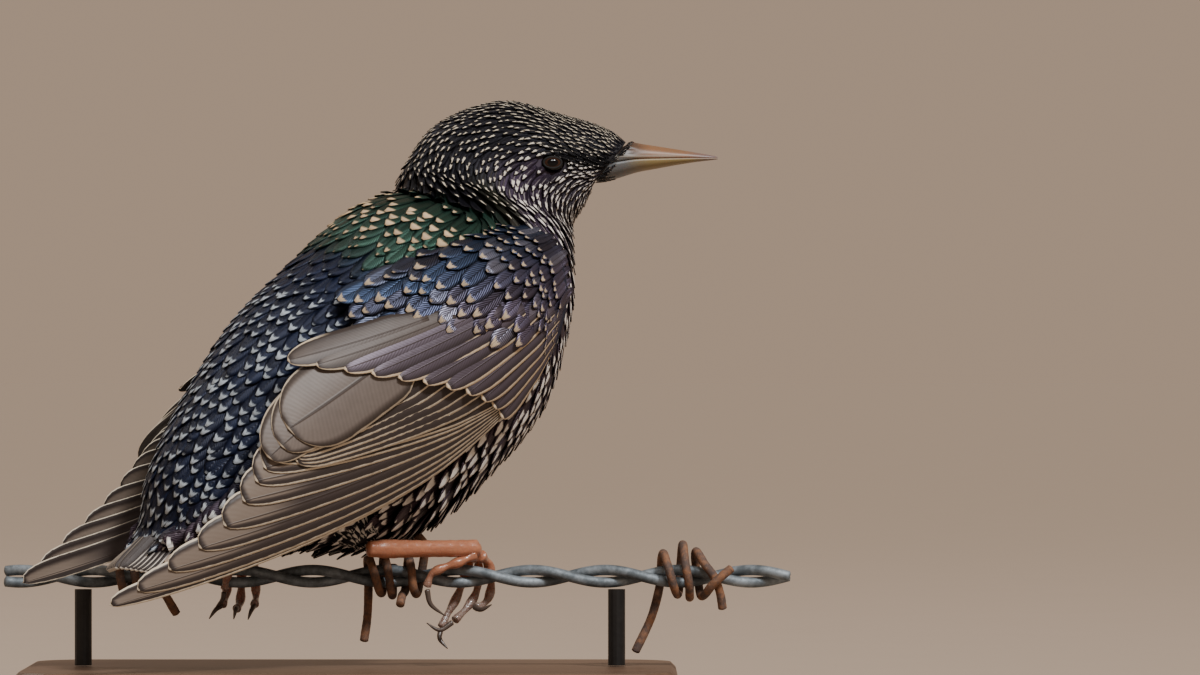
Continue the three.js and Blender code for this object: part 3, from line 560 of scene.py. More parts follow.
def plumage(s, a):
    """Ground colour, tip colour, and marks and shape of the pale tip at station s and angle a."""
    back = ease((np.cos(a) + 0.35) / 0.7)
    belly = 1 - back
    side = np.abs(np.sin(a))
    crown = ease((s - 7.4) / 1.0)
    rump = back * ease((4.8 - s) / 1.2)
    mantle = back * (ease((s - 4.4) / 1.2) * ease((7.8 - s) / 0.9))
    hood = back * crown
    face = ease((s - 10.6) / 1.2)
    cheek = crown * bell(np.cos(a), -0.3, 0.35) * ease((11.4 - s) / 1.5)
    throat = crown * ease((-np.cos(a) - 0.3) / 0.4)
    vent = ease((3.4 - s) / 1.4) * belly
    lores = ease((s - 11.35) / 0.3) * bell(np.cos(a), -0.12, 0.2)
    ground = blend(
        (rump, (0.003, 0.009, 0.034)),
        (mantle, (0.03, 0.078, 0.058)),
        (hood * (1 - cheek), (0.012, 0.012, 0.018)),
        (1.3 * cheek, (0.06, 0.04, 0.07)),
        (crown * bell(np.cos(a), 0.15, 0.2) * ease(10 - s), (0.05, 0.062, 0.022)),
        (belly * side * (1 - crown), (0.085, 0.055, 0.075)),
        (belly * (1 - side) * (1 - crown), (0.012, 0.012, 0.018)),
        (throat, (0.05, 0.042, 0.055)),
        (3 * lores, (0.004, 0.004, 0.005)),
    )
    tint = blend(
        (rump, (0.4, 0.47, 0.54)),
        (mantle, (0.62, 0.46, 0.28)),
        (hood, (0.66, 0.6, 0.48)),
        (belly, (0.84, 0.81, 0.75)),
    )
    spot = 0.165 * rump + 0.17 * mantle + 0.28 * hood + 0.32 * belly * (1 - 0.4 * vent)
    spot = spot * (1 + 0.4 * face) * (1 - lores)
    wide = 0.62 * rump + 0.88 * mantle + 0.28 * hood + mix(0.54, 0.32, throat) * belly
    notch = 0.25 * rump + 0.08
    streak = np.maximum(throat, 0.5 * np.maximum(face, np.minimum(1, cheek)))
    gloss = 0.55 + 0.25 * mantle + 0.15 * cheek - 0.3 * vent - 0.2 * rump
    return ground, tint, pile(spot, gloss), pile(wide, notch, 0.9 * streak * (1 - lores))


def into_eye(points):
    """The share of each feather's points that lie in an eye's opening."""
    share = np.zeros(len(points))
    for eye in EYES.values():
        far = norm((points - eye["middle"]) / [1, 1, EYE_FLAT], axis=-1)
        share = np.maximum(share, (far < EYE_RADIUS - 0.05).reshape(len(points), -1).mean(1))
    return share


EYES = {}
for eye_side, sign in (("right", 1), ("left", -1)):
    surface = body_at(np.array(EYE_STATION), np.array(sign * EYE_ANGLE))
    outward = unit(np.array([0.12, -sign, 0.1]))
    EYES[eye_side] = {"middle": surface + outward * (0.75 - EYE_RADIUS), "outward": outward}


def feather_outline(v, point=0.5):
    """A small feather's half width along it, from its root to its tip."""
    end = np.clip((v - 0.45) / 0.56, 0, 1)
    return np.minimum(1, 0.5 + 1.6 * v) * np.sqrt(np.maximum(0.004, 1 - end ** (1.6 + point)))


def feather_piece(name, faces, lie, roots, looks):
    """Joins small feathers into one piece. roots are their places on the baking map."""
    upper, lower = faces
    vv, xx = lie
    n = len(upper)
    per = vv.size * 2
    ground, tint, marks, shape = (np.broadcast_to(part, (n, np.shape(part)[-1])) for part in looks)
    bare = rng.random(n) < 0.05
    spot = marks[:, 0] * rng.uniform(0.65, 1.25, n) * (1 - 0.7 * bare)
    marks = pile(spot, marks[:, 1], rng.random(n))
    shape = shape * pile(rng.uniform(0.85, 1.15, n), np.ones(n), rng.uniform(0.5, 1.1, n))
    ground = ground * rng.uniform(0.7, 1.3, (n, 1))
    tint = tint * rng.uniform(0.85, 1.1, (n, 1))
    points = join([upper.reshape(n, -1, 3), lower.reshape(n, -1, 3)], 1)
    quads = (plate_quads(*vv.shape)[None] + np.arange(n)[:, None, None] * per).reshape(-1, 4)
    flat = pile(xx, vv).reshape(1, -1, 2)
    fuv = np.repeat(join([flat, flat], 1), n, 0)
    bake = np.clip(roots[:, None] + (fuv * [0.5, 1] - [0, 0.5]) * 0.003, 0, 1)
    colours = {"ground": ground, "tint": tint, "marks": marks, "shape": shape}
    colours = {key: np.repeat(value[:, None], per, 1) for key, value in colours.items()}
    make_mesh(name, points, quads, CONTOUR, (), {"fuv": fuv, "OFBake": bake}, colours)


def body_feathers(s0, a0, length, width, lift, lie):
    """Upper and lower points of feathers over the body, each from its root towards the tail."""
    vv, xx = lie
    wide = each(width) * feather_outline(vv)
    swing = rng.normal(0, 0.06, len(s0))
    s, a = [s0], [a0]
    for step in np.diff(vv[:, 0]):
        _, per_s, per_a = body_frame(s[-1], a[-1])
        s.append(np.maximum(s[-1] - step * length / np.maximum(per_s, 1.2), -0.9))
        a.append(a[-1] + swing * step * length / np.maximum(per_a, 2.0))
    s, a = np.stack(s, 1)[..., None], np.stack(a, 1)[..., None]
    a = a + xx * wide / np.maximum(body_frame(s, a)[2], 2.0)
    s = s + 0 * a
    rise = mix(lift[:, 0, None, None], lift[:, 1, None, None], vv**1.3)
    rise = rise - 0.12 * each(width) * xx**2 + each(rng.normal(0, 0.06, len(s0)))
    return two_faces(body_at(s, a), body_frame(s, a)[0], rise, 0.045 + 0.03 * (1 - vv))


def lay_on_body(name, s0, a0, length, width, lift, size):
    lie = grid(steps(0, 1, size[0]) ** 0.85, steps(-1, 1, size[1]))
    for _ in range(2):
        faces = body_feathers(s0, a0, length, width, lift, lie)
        share = into_eye(faces[0])
        length = np.where(share > 0, length * 0.55, length)
    keep = share < 0.12
    roots = pile(a0 / tau % 1, s0 / LAST)[keep]
    looks = [part[keep] for part in plumage(s0, a0)]
    feather_piece(name, [face[keep] for face in faces], lie, roots, looks)


def thin(points, room):
    """Picks points in order so that none is nearer to an earlier one than its room."""
    chosen = []
    for i, p in enumerate(points):
        if not chosen or norm(points[chosen] - p, axis=1).min() >= room[i]:
            chosen.append(i)
    return chosen


def rows_of_roots(start, stop, spacing):
    """Roots over the body in rows, evenly spaced whatever the bend of the neck."""
    roots, s = [], start
    while s < stop:
        row = through(STATIONS, s)
        gap = spacing(s)
        n = int(pi * (row[5] + 0.5 * (row[6] + row[7])) / (0.55 * gap))
        a = (np.arange(n) + rng.random()) * tau / n
        roots.append(pile(np.full(n, s), (a + pi) % tau - pi))
        reach = body_frame(np.full(n, s), a)[1].max()
        s += 0.5 * gap / max(reach, 3.0)
    roots = join(roots)
    chosen = thin(body_at(*roots.T), 0.88 * spacing(roots[:, 0]))
    roots = roots[chosen] + rng.normal(0, 1, (len(chosen), 2)) * [0.008, 0.006]
    return roots.T


def under_wing(s, a):
    """Where a wing covers the body, so no body feather is needed."""
    u, q = grid(steps(0.06, 0.55, 40), steps(5, 36, 14))
    sheet = join([wing_at(side, u, q).reshape(-1, 3) for side in (1, -1)])
    gaps = [norm(sheet - p, axis=-1).min() for p in body_at(s, a)]
    return np.array(gaps) < 1.9


def make_body_coat():
    sizes = [3.2, 3.4, 3.3, 3, 2.3, 1.85, 1.35, 0.9]
    spacing = lambda s: np.interp(s, [0, 2, 5, 7, 8.5, 10, 11.5, 13], sizes)
    s0, a0 = rows_of_roots(0.35, 12.97, spacing)
    keep = ~under_wing(s0, a0)
    s0, a0 = s0[keep], a0[keep]
    size = spacing(s0)
    length = size * np.interp(s0, [0, 7, 9, 13], [3.4, 3.2, 3.0, 2.7]) * rng.uniform(0.9, 1.1, len(s0))
    width = size * np.interp(s0, [0, 6, 8, 13], [0.72, 0.62, 0.56, 0.52])
    back = ease((np.cos(a0) + 0.35) / 0.7)
    fluff = 2.8 * (1 - back) * ease((5.2 - s0) / 1.5) * rng.uniform(0.3, 1.2, len(s0))
    stand = 1.4 * bell(s0, 8.4, 0.9) * back + fluff
    lift = pile(-1.5 * np.interp(s0, [0, 8, 11, 13], [1, 0.8, 0.5, 0.3]), -0.1 + stand)
    parts = {"rump": (0, 3.4, 7, 5), "back": (3.4, 6.6, 7, 5), "neck": (6.6, 9, 7, 5), "head": (9, 14, 6, 3)}
    for name, (low, high, *count) in parts.items():
        pick = (s0 >= low) & (s0 < high)
        lay_on_body(f"feathers_{name}", s0[pick], a0[pick], length[pick], width[pick], lift[pick], count)


THIGHS = {
    "right": ((-3, -11.5, 48), (4, -15.2, 37.9), (10.5, 10, 8.6, 6.4, 3.4)),
    "left": ((-21, 0.5, 46), (-24.8, -1.3, 37), (8.5, 8, 7, 5.4, 3.2)),
}


def make_thigh_coat(side):
    """Soft feathers hanging round the top of the leg, over a tapered core."""
    start, stop, radii = (np.array(part, float) for part in THIGHS[side])
    way = unit(stop - start)
    across = unit(np.cross(way, [0.3, 1, 0]))
    other = np.cross(way, across)
    size = norm(stop - start)
    reach = lambda t: np.interp(t, steps(0, 1, 5), radii)

    def around(t, a, grow):
        turn = across * np.cos(a)[..., None] + other * np.sin(a)[..., None]
        return start + way * (t * size)[..., None] + turn * (reach(t) + grow)[..., None], turn

    t, a = grid(steps(0, 0.98, 24), np.arange(40) * tau / 40)
    core = with_ends(around(t, a, -1.4 + 0 * t)[0])
    uv = pile(*grid(steps(0, 1, 26), np.arange(40) / 41)[::-1])
    ground = np.tile([0.012, 0.012, 0.016], (26 * 40, 1))
    make_mesh(f"thigh_{side}_skin", core, grid_quads(26, 40, closed=True), SKIN, (),
              {"OFBake": uv}, {"ground": ground})
    row, place = (part.ravel() for part in grid(np.arange(8), np.arange(22)))
    n = len(row)
    t0 = steps(-0.1, 0.72, 8)[row]
    a0 = place * tau / 22 + row % 2 * 0.14 + rng.normal(0, 0.06, n)
    vv, xx = grid(steps(0, 1, 7), steps(-1, 1, 5))
    length = np.minimum(rng.uniform(4.5, 6.5, n), (1.04 - t0) * size)[:, None, None]
    t = each(t0) + vv * length / size
    a = each(a0) + xx * 1.25 * feather_outline(vv) / np.maximum(reach(t), 3)
    middle, turn = around(np.minimum(t, 1.06), a, mix(-1.3, -0.05, vv) - 0.1 * xx**2)
    roots = pile(a0 / 7 % 1, np.clip(t0, 0, 1))
    looks = ((0.012, 0.012, 0.018), (0.6, 0.57, 0.52), (0.24, 0.3), (0.4, 0.1, 0.0))
    feather_piece(f"thigh_{side}_feathers", two_faces(middle, turn, 0, 0.06), (vv, xx), roots, looks)


def make_skin():
    """One skin from the tail's root to the bill, inside the coat."""
    s = join([steps(0.05, 7, 90), steps(7.06, 12.97, 110)])
    a = steps(0, tau, 97)
    ss, aa = grid(s, a)
    depth = np.interp(s, [0, 1.5, 8, 11, 13], [1.0, 1.9, 1.6, 1.0, 0.5])[:, None]
    flank = np.interp(s, [0, 1, 5.5, 7], [0, 4.2, 4.2, 0])[:, None] * np.sin(aa) ** 2
    normal = body_frame(ss, aa)[0]
    points = body_at(ss, aa) - normal * (depth + flank)[..., None]
    for eye in EYES.values():
        far = norm(points - eye["middle"], axis=-1, keepdims=True)
        points = np.where(far < EYE_RADIUS, points - normal * (EYE_RADIUS - far) * 0.8, points)
    rows = join([s[:1], s, s[-1:]])
    ground = plumage(*grid(rows, a))[0] * 0.8
    uv = pile(*grid(rows / LAST, a / tau)[::-1])
    make_mesh("body_skin", with_ends(points), grid_quads(len(rows), len(a)), SKIN,
              ("torso", "neck", "head", "leg_right_thigh", "leg_left_thigh"),
              {"OFBake": uv}, {"ground": ground})


# Wings

TAPER = {"primary": 0.86, "tertial": 0.66, "tail": 0.72}


def long_outline(v, taper):
    """Half width along a feather, as a share of its widest: its rounded end starts at the taper."""
    end = np.clip((v - taper) / (1 - taper), 0, 1)
    return np.minimum(1, 0.45 + 2.4 * v) * np.sqrt(np.maximum(0.0006, 1 - end**2.4))


PRIMARY_TIPS = [(1, 1.6), (0.94, 3.4), (0.87, 5.9), (0.8, 8.4), (0.737, 11.2), (0.68, 14.7),
                (0.638, 17.6), (0.61, 19.5), (0.585, 20.5)]


def flight_list():
    """Every long feather of one wing: its kind, root, tip, web widths, and rise at each end."""
    out = []
    for k, tip in enumerate(PRIMARY_TIPS):
        webs = (1.5 if k == 0 else 2.2, 3.8 + 0.75 * k)
        out.append(("primary", (0.15, 1.2 + 0.5 * k), tip, webs, (0.9 + 0.12 * k, 0.45 + 0.3 * k)))
    for k in range(6):
        root, tip = (0.13 + 0.018 * k, 7.5 + 2.3 * k), (0.55, 18 + 0.8 * k)
        out.append(("primary", root, tip, (2.6, 6.5), (2.4 + 0.15 * k, 3.1 + 0.09 * k)))
    out.append(("tertial", (0.26, 31), (0.595, 21), (5, 8), (3.2, 3.7)))
    out.append(("tertial", (0.25, 30), (0.562, 22), (5.5, 8.5), (3.6, 4.15)))
    out.append(("tertial", (0.24, 27.5), (0.532, 24.5), (8.5, 9), (4, 4.6)))
    for k in range(11):
        t = k / 10
        tip = (0.165 + 0.3 * t**1.5, 1.5 + 35 * t)
        root = (max(0.005, tip[0] - 0.2 - 0.06 * t), tip[1] + 2.2 - 9 * t)
        kind = "inner covert" if t > 0.85 else "greater"
        out.append((kind, root, tip, (2.7, 3.6), (wing_top(*root) - 0.6, wing_top(*tip) + 0.35)))
    return out


LOOKS = {
    "primary": ((0.06, 0.047, 0.046), (0.62, 0.54, 0.42), (0.62, 0.05, 0.85), 0.3),
    "tertial": ((0.18, 0.148, 0.13), (0.52, 0.44, 0.33), (0.5, 0.0, 0.1), 0.22),
    "inner covert": ((0.1, 0.082, 0.075), (0.6, 0.5, 0.36), (0.6, 0.1, 0.1), 0.2),
    "greater": ((0.125, 0.105, 0.14), (0.62, 0.5, 0.35), (0.85, 0.8, 0.0), 0.4),
    "tail": ((0.055, 0.052, 0.06), (0.5, 0.46, 0.4), (0.5, 0.2, 0.1), 0.3),
}


def web(place, kind, webs, rise, rows=26, columns=9):
    """A long feather's points and lie, from a function of along, across and height."""
    vv, xx = grid(1 - (1 - steps(0, 1, rows)) ** 1.35, steps(-1, 1, columns))
    off = xx * np.where(xx < 0, *webs) * long_outline(vv, TAPER.get(kind, 0.6))
    crown = 0.22 * (1 - np.abs(xx)) - 0.1 * xx**2 * ease(vv * 3)
    middle, normal = place(vv, off, mix(*rise, vv) + crown - 0.2 * xx)
    faces = two_faces(middle, normal, 0, mix(0.16, 0.07, vv) * (1 - 0.4 * np.abs(xx)))
    return join([face.reshape(-1, 3) for face in faces]), vv, xx


def web_piece(name, made, replaces=(), edge=1.0, painted_shade=1.0):
    """Joins long feathers, each given a strip of its own in the baking map. The last two arguments scale the
    pale rims and the ground colour; below 1 they darken them as painted shade.
    """
    points, quads, fuv, bake, colours = [], [], [], [], {"ground": [], "tint": [], "marks": [], "size": []}
    across = ceil(sqrt(len(made) * 2.0))
    down = ceil(len(made) / across)
    for k, (kind, webs, length, (p, vv, xx)) in enumerate(made):
        per = len(p)
        points.append(p)
        quads.append(plate_quads(*vv.shape) + k * per)
        flat = pile(xx, vv).reshape(-1, 2)
        fuv += [flat, flat]
        for shift in (0.26, 0.74):
            bake.append(([k % across + shift, k // across + 0.04] + flat * [0.21, 0.92]) / [across, down])
        ground, tint, (rim, gloss, centre), barred = LOOKS[kind]
        # Random tone for each feather, times the factor of painted shade that darkens a shaded wing's ground
        tone_and_painted_shade = painted_shade * rng.uniform(0.88, 1.12)
        values = {"ground": np.array(ground) * tone_and_painted_shade, "tint": tint, "marks": [rim * edge, gloss, centre]}
        for key, value in values.items():
            colours[key].append(np.tile(value, (per, 1)))
        wide = np.where(xx < 0, *webs).ravel() / 20
        colours["size"] += [pile(wide, 0 * wide + length / 100, 0 * wide + barred)] * 2
    colours = {key: join(value) for key, value in colours.items()}
    uvs = {"fuv": join(fuv), "OFBake": join(bake)}
    make_mesh(name, join(points), join(quads), FLIGHT, replaces, uvs, colours)


def make_wing(side, name):
    flight, coverts = [], []
    for kind, root, tip, webs, rise in flight_list():
        run = (np.array(tip) - root) * [WING_LENGTH, 1]
        size = norm(run)

        def place(v, off, height):
            u = mix(root[0], tip[0], v) - off * run[1] / size / WING_LENGTH
            q = mix(root[1], tip[1], v) + off * run[0] / size
            normal = wing_normal(side, u, q)
            return wing_at(side, u, q) + normal * height[..., None], normal

        group = flight if kind in ("primary", "tertial") else coverts
        group.append((kind, webs, size, web(place, kind, webs, rise)))
    # The left wing gets dimmer rims and a darker ground: painted shade
    looks = (1.0, 1.0) if side > 0 else LEFT_WING_PAINTED_SHADE
    web_piece(f"wing_{name}_flight", flight, (f"wing_{name}",), *looks)
    web_piece(f"wing_{name}_coverts", coverts, (), *looks)
    make_wing_arm(side, name)
    make_lesser_coverts(side, name)


def arm_edge(u, q):
    """One over the middle of the wing's fleshy front, falling to nothing at its edges."""
    s, w = (u + 0.02) / 0.29, 2 * (q - 0.6) / (WING_DEPTH - 1.6) - 1
    return np.clip(1 - np.abs(2 * s - 1) ** 4, 0, 1) * np.clip(1 - np.abs(w) ** 6, 0, 1)


def make_wing_arm(side, name):
    u, q = grid(steps(-0.02, 0.27, 50), steps(0.6, WING_DEPTH - 1, 40))
    top = 0.25 + np.maximum(0, wing_top(u, q) - 1.7) * arm_edge(u, q)
    base = wing_at(side, u, q)
    faces = base + wing_normal(side, u, q) * top[..., None], base
    uv = np.tile(pile(u * 2 + 0.25, q / 50).reshape(-1, 2), (2, 1))
    ground = np.tile([0.012, 0.014, 0.03], (len(uv), 1))
    make_mesh(f"wing_{name}_arm", join(faces), plate_quads(50, 40), SKIN, (),
              {"OFBake": uv}, {"ground": ground})


def make_lesser_coverts(side, name):
    """Small glossy coverts and scapulars over the front of the wing, in staggered rows towards its tip."""
    roots, u, k = [], -0.03, 0
    while u < 0.27:
        near = ease((u + 0.01) / 0.06)
        q = np.arange(1 + 1.7 * (k % 2), 46.5, mix(2.2, 3.8, near))
        q = q[u < np.interp(q, [0, 12, 38], [0.005, 0.005, 0.26])]
        q = q + rng.normal(0, 0.3, len(q))
        roots.append(pile(u + rng.normal(0, 0.003, len(q)), q))
        u += mix(1.8, 3.9, near) / WING_LENGTH
        k += 1
    roots = join(roots)
    n = len(roots)
    vv, xx = grid(steps(0, 1, 7), steps(-1, 1, 5))
    near = ease((roots[:, 0] + 0.01) / 0.07)
    length = (mix(5, 10.5, near) * rng.uniform(0.9, 1.1, n))[:, None, None]
    wide = each(mix(1.5, 2.35, near))
    turn = -0.1 + each(rng.normal(0, 0.05, n))
    off = xx * wide * feather_outline(vv, 1.2)
    u = roots[:, 0, None, None] + (vv * length - off * turn) / WING_LENGTH
    q = roots[:, 1, None, None] + off + vv * length * turn
    top = np.maximum(0.5, (wing_top(u, q) - 0.4) * mix(0.35, 1, arm_edge(u, q)))
    rise = top + mix(-0.9, 0.7, vv**1.2) - 0.07 * wide * xx**2
    inner = ease((roots[:, 1] - 20) / 18)
    mixed = rng.random(n)
    ground = blend(
        (1 - inner, (0.15, 0.13, 0.2)),
        (inner, (0.055, 0.085, 0.16)),
        (0.9 * ease((mixed - 0.6) / 0.3), (0.07, 0.05, 0.05)),
        # Pale blue-white on a random quarter of the coverts: painted highlight, for glints on the glossy
        # feathers
        (0.9 * ease((0.25 - mixed) / 0.2), (0.42, 0.42, 0.52)),
    )
    faces = two_faces(wing_at(side, u, q), wing_normal(side, u, q), rise, 0.06)
    looks = (ground, (0.5, 0.39, 0.26), (0.15, 0.85), (0.55, 0.25, 0.0))
    places = pile(roots[:, 0] * 2 + 0.25, roots[:, 1] / 50)
    feather_piece(f"wing_{name}_lesser", faces, (vv, xx), places, looks)


def make_tail():
    x, y, z, tilt, turn = STATIONS[0, :5]
    p, h = radians(tilt), radians(turn)
    forward = np.array([cos(h) * cos(p), sin(h) * cos(p), sin(p)])
    right = np.array([sin(h), -cos(h), 0])
    dorsal = np.cross(right, forward)
    made = []
    for k in range(6):
        for sign in (-1, 1):
            out, length = 1.1 + 1.35 * k, 14.6 - 0.25 * k
            level = 1.15 - 0.34 * k + (0.12 if sign > 0 else 0)

            def place(v, off, height):
                spot = (x, y, z) - forward * mix(-6, length, v)[..., None]
                spot = spot + right * (sign * mix(out * 0.5, out, v) + off)[..., None]
                spot = spot + dorsal * (height - 0.006 * out * out)[..., None]
                return spot, np.broadcast_to(dorsal, spot.shape)

            webs = (3.1, 3.1)
            made.append(("tail", webs, length + 6, web(place, "tail", webs, (level, level), 16, 7)))
    web_piece("tail_feathers", made, ("tail",))


# Bill, eyes and lids

BILL_SECTIONS = np.array([
    [61, 24.5, 125.6, -37.5, 6, 6, 4.9],
    [66.3, 24.5, 126.4, -12, 3.9, 3.5, 4.2],
    [72.1, 24.5, 126.6, -3, 2.8, 2.3, 3.3],
    [79.1, 24.5, 126.7, 0, 1.6, 1.15, 2.2],
    [84.2, 24.5, 126.7, 0, 0.7, 0.5, 1.1],
    [85.8, 24.5, 126.7, 0, 0.32, 0.28, 0.4],
])


def bill_at(t):
    """The bill's section at t, and the way up from it."""
    row = through(BILL_SECTIONS, t)
    p = np.radians(row[..., 3])
    return row, pile(-np.sin(p), 0 * p, np.cos(p))


def make_bill():
    along = steps(-0.2, 5, 60)
    tuck = mix(0.84, 1, ease((along + 0.1) / 0.35))
    arc = steps(0, pi, 25)
    inner = steps(1, -1, 9)[1:-1]
    for name, side in (("upper", 1), ("lower", -1)):
        row, dorsal = bill_at(along)
        depth = (row[:, 4 if side > 0 else 5] * tuck)[:, None]
        gap = np.minimum(0.1, depth * 0.3)
        up = join([gap + (depth - gap) * np.sin(arc) ** 0.8, gap.repeat(len(inner), 1)], 1)
        across = (row[:, 6] * tuck)[:, None] * join([-np.cos(arc), inner])
        points = row[:, None, :3] + dorsal[:, None] * (side * up)[..., None]
        points = points + across[..., None] * [0, 1, 0]
        for y in (-1, 1):
            away = (points - [65.2, 24.5 + y * 3.7, 128.2]) / [1.5, 0.9, 0.55]
            nostril = 0.6 * np.exp(-np.sum(away**2, -1, keepdims=True)) if side > 0 else 0.0
            points = points - nostril * np.array([0, y, 0])
        points = with_ends(points)
        quads = grid_quads(*points.shape[:2], closed=True)
        make_mesh(f"bill_{name}_horn", points, quads, BILL, (f"bill_{name}",))


def make_bristles():
    """Short dark feathers that point forward over the base of the bill."""
    vv, xx = grid(steps(0, 1, 6), steps(-1, 1, 3))
    n = 190
    side = np.where(rng.random(n) < 0.55, 1, -1)
    arc = rng.uniform(0.06, pi - 0.06, n)
    high = np.sin(arc)
    start = rng.uniform(-0.15, 0.12, n) + np.where(side > 0, 0.22 * high, 0.1 * high**3)
    length = rng.uniform(0.9, 1.6, n) * np.where(side > 0, mix(0.8, 1.6, high), mix(0.6, 1.3, high**3))
    t = each(start) + vv * each(length) / 5.4
    swing = each(rng.normal(0, 0.2, n)) * vv
    bend = each(arc) + (xx * 0.26 * feather_outline(vv) + swing) / 5
    bend = np.clip(bend, 0.02, pi - 0.02)
    row, dorsal = bill_at(t + 0 * bend)
    way = each(side)
    depth = np.where(way > 0, row[..., 4], row[..., 5])
    out = (way * depth * np.sin(bend) ** 0.8)[..., None] * dorsal
    out = out - (row[..., 6] * np.cos(bend))[..., None] * [0, 1, 0]
    marks = pile(0.3 * (rng.random(n) < 0.35), 0.1 + 0 * arc)
    looks = ((0.008, 0.008, 0.01), (0.5, 0.46, 0.4), marks, (0.4, 0.1, 0.0))
    places = pile(arc / tau + 0.25 * (side > 0), (start + 1) / 3)
    faces = two_faces(row[..., :3] + out, unit(out), mix(-0.1, 0.16, vv), 0.04)
    feather_piece("feathers_bill", faces, (vv, xx), places, looks)


def make_eyes():
    angle = np.arange(48) * tau / 48
    tt, rr = grid(steps(0, pi, 33), angle)
    b = (np.arange(12) * tau / 12)[:, None]
    for name, eye in EYES.items():
        middle, out = eye["middle"], eye["outward"]
        side = unit(np.cross(out, [0, 0, 1]))
        up = np.cross(side, out)
        spot = out * np.cos(tt)[..., None] + side * (np.sin(tt) * np.cos(rr))[..., None]
        spot = spot + up * (EYE_FLAT * np.sin(tt) * np.sin(rr))[..., None]
        make_mesh(f"eye_{name}_ball", middle + spot * EYE_RADIUS, grid_quads(33, 48, closed=True), EYE,
                  (f"eye_{name}",), None, {"marks": pile(tt / 0.95, 0 * tt, 0 * tt)})
        right, high = 2.05 * np.cos(angle), 1.28 * np.sin(angle)
        deep = np.sqrt(EYE_RADIUS**2 - right**2 - (high / EYE_FLAT) ** 2) - 0.1
        rim = side * right[:, None] + up * high[:, None]
        ring = unit(rim)[:, None] * np.cos(b) + out * np.sin(b)
        thick = 0.33 + 0.03 * np.sin(angle * 3)
        rows = (middle + out * deep[:, None] + rim)[:, None] + ring * thick[:, None, None]
        rows = join([rows, rows[:1]])
        make_mesh(f"eyelid_{name}", rows, grid_quads(49, 12, closed=True), LID)


# Legs and feet

def lerp_radii(values, count):
    return np.interp(steps(0, 1, count), steps(0, 1, len(values)), values)


# Each leg: its heel, the joint of its toes, and the lines of its toes and claws
LEGS = {
    "right": ((4.8, -15.4, 35.4), (29.4, -1.8, 35.2), [
        [(29, 0.2, 33.8), (27.6, 4.2, 31.7), (26.2, 4.6, 27.5), (24.6, 4, 23.6), (22.6, 2.6, 20),
         (21.3, 1.6, 17.2)],
        [(29.8, 0.4, 33.8), (29.8, 4.4, 31.6), (29.8, 4.8, 27.5), (28.9, 3.8, 24.2), (27, 1.6, 21.4),
         (24.5, -1.3, 18.9)],
        [(30.4, 0.2, 33.8), (32.2, 4.3, 31.4), (32.8, 4.7, 27.3), (32.2, 4.1, 24), (30.8, 2.4, 22.3),
         (29.3, 0.8, 21.8)],
        [(28.9, -2.6, 34), (25.5, -4.4, 32.4), (21.8, -5.1, 31.1), (19.1, -5.2, 29.6), (18, -4.9, 26.9)],
    ], [
        [(21.05, 1.3, 16.4), (20.9, 0.3, 14.4), (22.7, -0.6, 12.2)],
        [(23.8, -2, 18.3), (20.9, -2.9, 16.6), (17.9, -2.6, 18.2)],
        [(29, -0.1, 21.8), (30.6, -1.8, 21.3), (33, -2.8, 22.5)],
        [(18.05, -4.8, 25.9), (18.9, -4.6, 22.6), (22.2, -4.3, 19.9)],
    ]),
    "left": ((-24.2, -1.7, 41), (-25.4, -0.8, 35.2), [
        [(-26, 0.2, 33.8), (-28, 4.2, 31.6), (-28.6, 4.7, 27.4), (-29, 3.4, 24.2), (-29.6, 0.6, 22.4)],
        [(-25.4, 0.4, 33.8), (-25.4, 4.4, 31.6), (-25.4, 4.8, 27.4), (-25.6, 3.6, 23.6),
         (-26, 0.6, 21.6), (-26.2, -2, 21.6)],
        [(-24.8, 0.2, 33.8), (-22.8, 4.2, 31.4), (-22.2, 4.6, 27.3), (-22, 3.6, 24.2), (-22.2, 0.8, 22.4)],
        [(-25.9, -2.4, 33.8), (-27.4, -4.3, 31.7), (-28.4, -4.9, 29), (-28.9, -4.5, 26.2)],
    ], [
        [(-30, -0.3, 22.1), (-31.2, -2, 21.2), (-32.6, -2.6, 19.2)],
        [(-26.25, -2.8, 21.7), (-26.4, -4.7, 21.2), (-26.8, -5.4, 19.2)],
        [(-22.3, -0.1, 22.1), (-22.9, -2, 21), (-23.6, -2.6, 19)],
        [(-29.05, -4.3, 25.3), (-29.5, -3.9, 23.6), (-31, -3.4, 22)],
    ]),
}


def make_legs():
    t = steps(0, 1, 46)
    knuckles = (1.04 + 0.2 * np.cos(t * tau * 3)) * (1 + 0.02 * np.sin(t * 120))
    for side, (heel, joint, toes, claws) in LEGS.items():
        heel, joint = np.array(heel), np.array(joint)
        path = smooth_path([heel, mix(heel, joint, 0.5), joint], 60) + [0, 0, 0.3]
        radii = lerp_radii([1.6, 2.0, 1.85, 1.75, 1.75, 1.8, 1.85], 60)
        radii = radii * (1 + 0.018 * np.sin(steps(0, 60, 60)))
        add_tubes(f"shin_{side}", [(path, radii, 24, 1.12)], LEG, "bare_leg", f"leg_{side}_shin")
        tubes = [([joint + (-0.9, 0, 0), joint, joint + (0.9, 0, 0)], [1.4, 1.75, 1.4], 20)]
        tubes += [(smooth_path(toe, 46), mix(1.16, 0.82, t) * knuckles, 16) for toe in toes]
        add_tubes(f"foot_{side}_toes", tubes, LEG, "bare_leg", f"foot_{side}")
        for k, claw in enumerate(claws, 1):
            tube = (smooth_path(claw, 24), lerp_radii([0.66, 0.6, 0.5, 0.34, 0.12], 24), 14)
            add_tubes(f"claw_{side}_{k}_horn", [tube], CLAW, "claw", f"claw_{side}_{k}")


# Wire, barbs and stand

def round_wire(x, degrees, radius=4.2):
    a = radians(degrees)
    return (x, radius * cos(a), WIRE_HEIGHT + radius * sin(a))


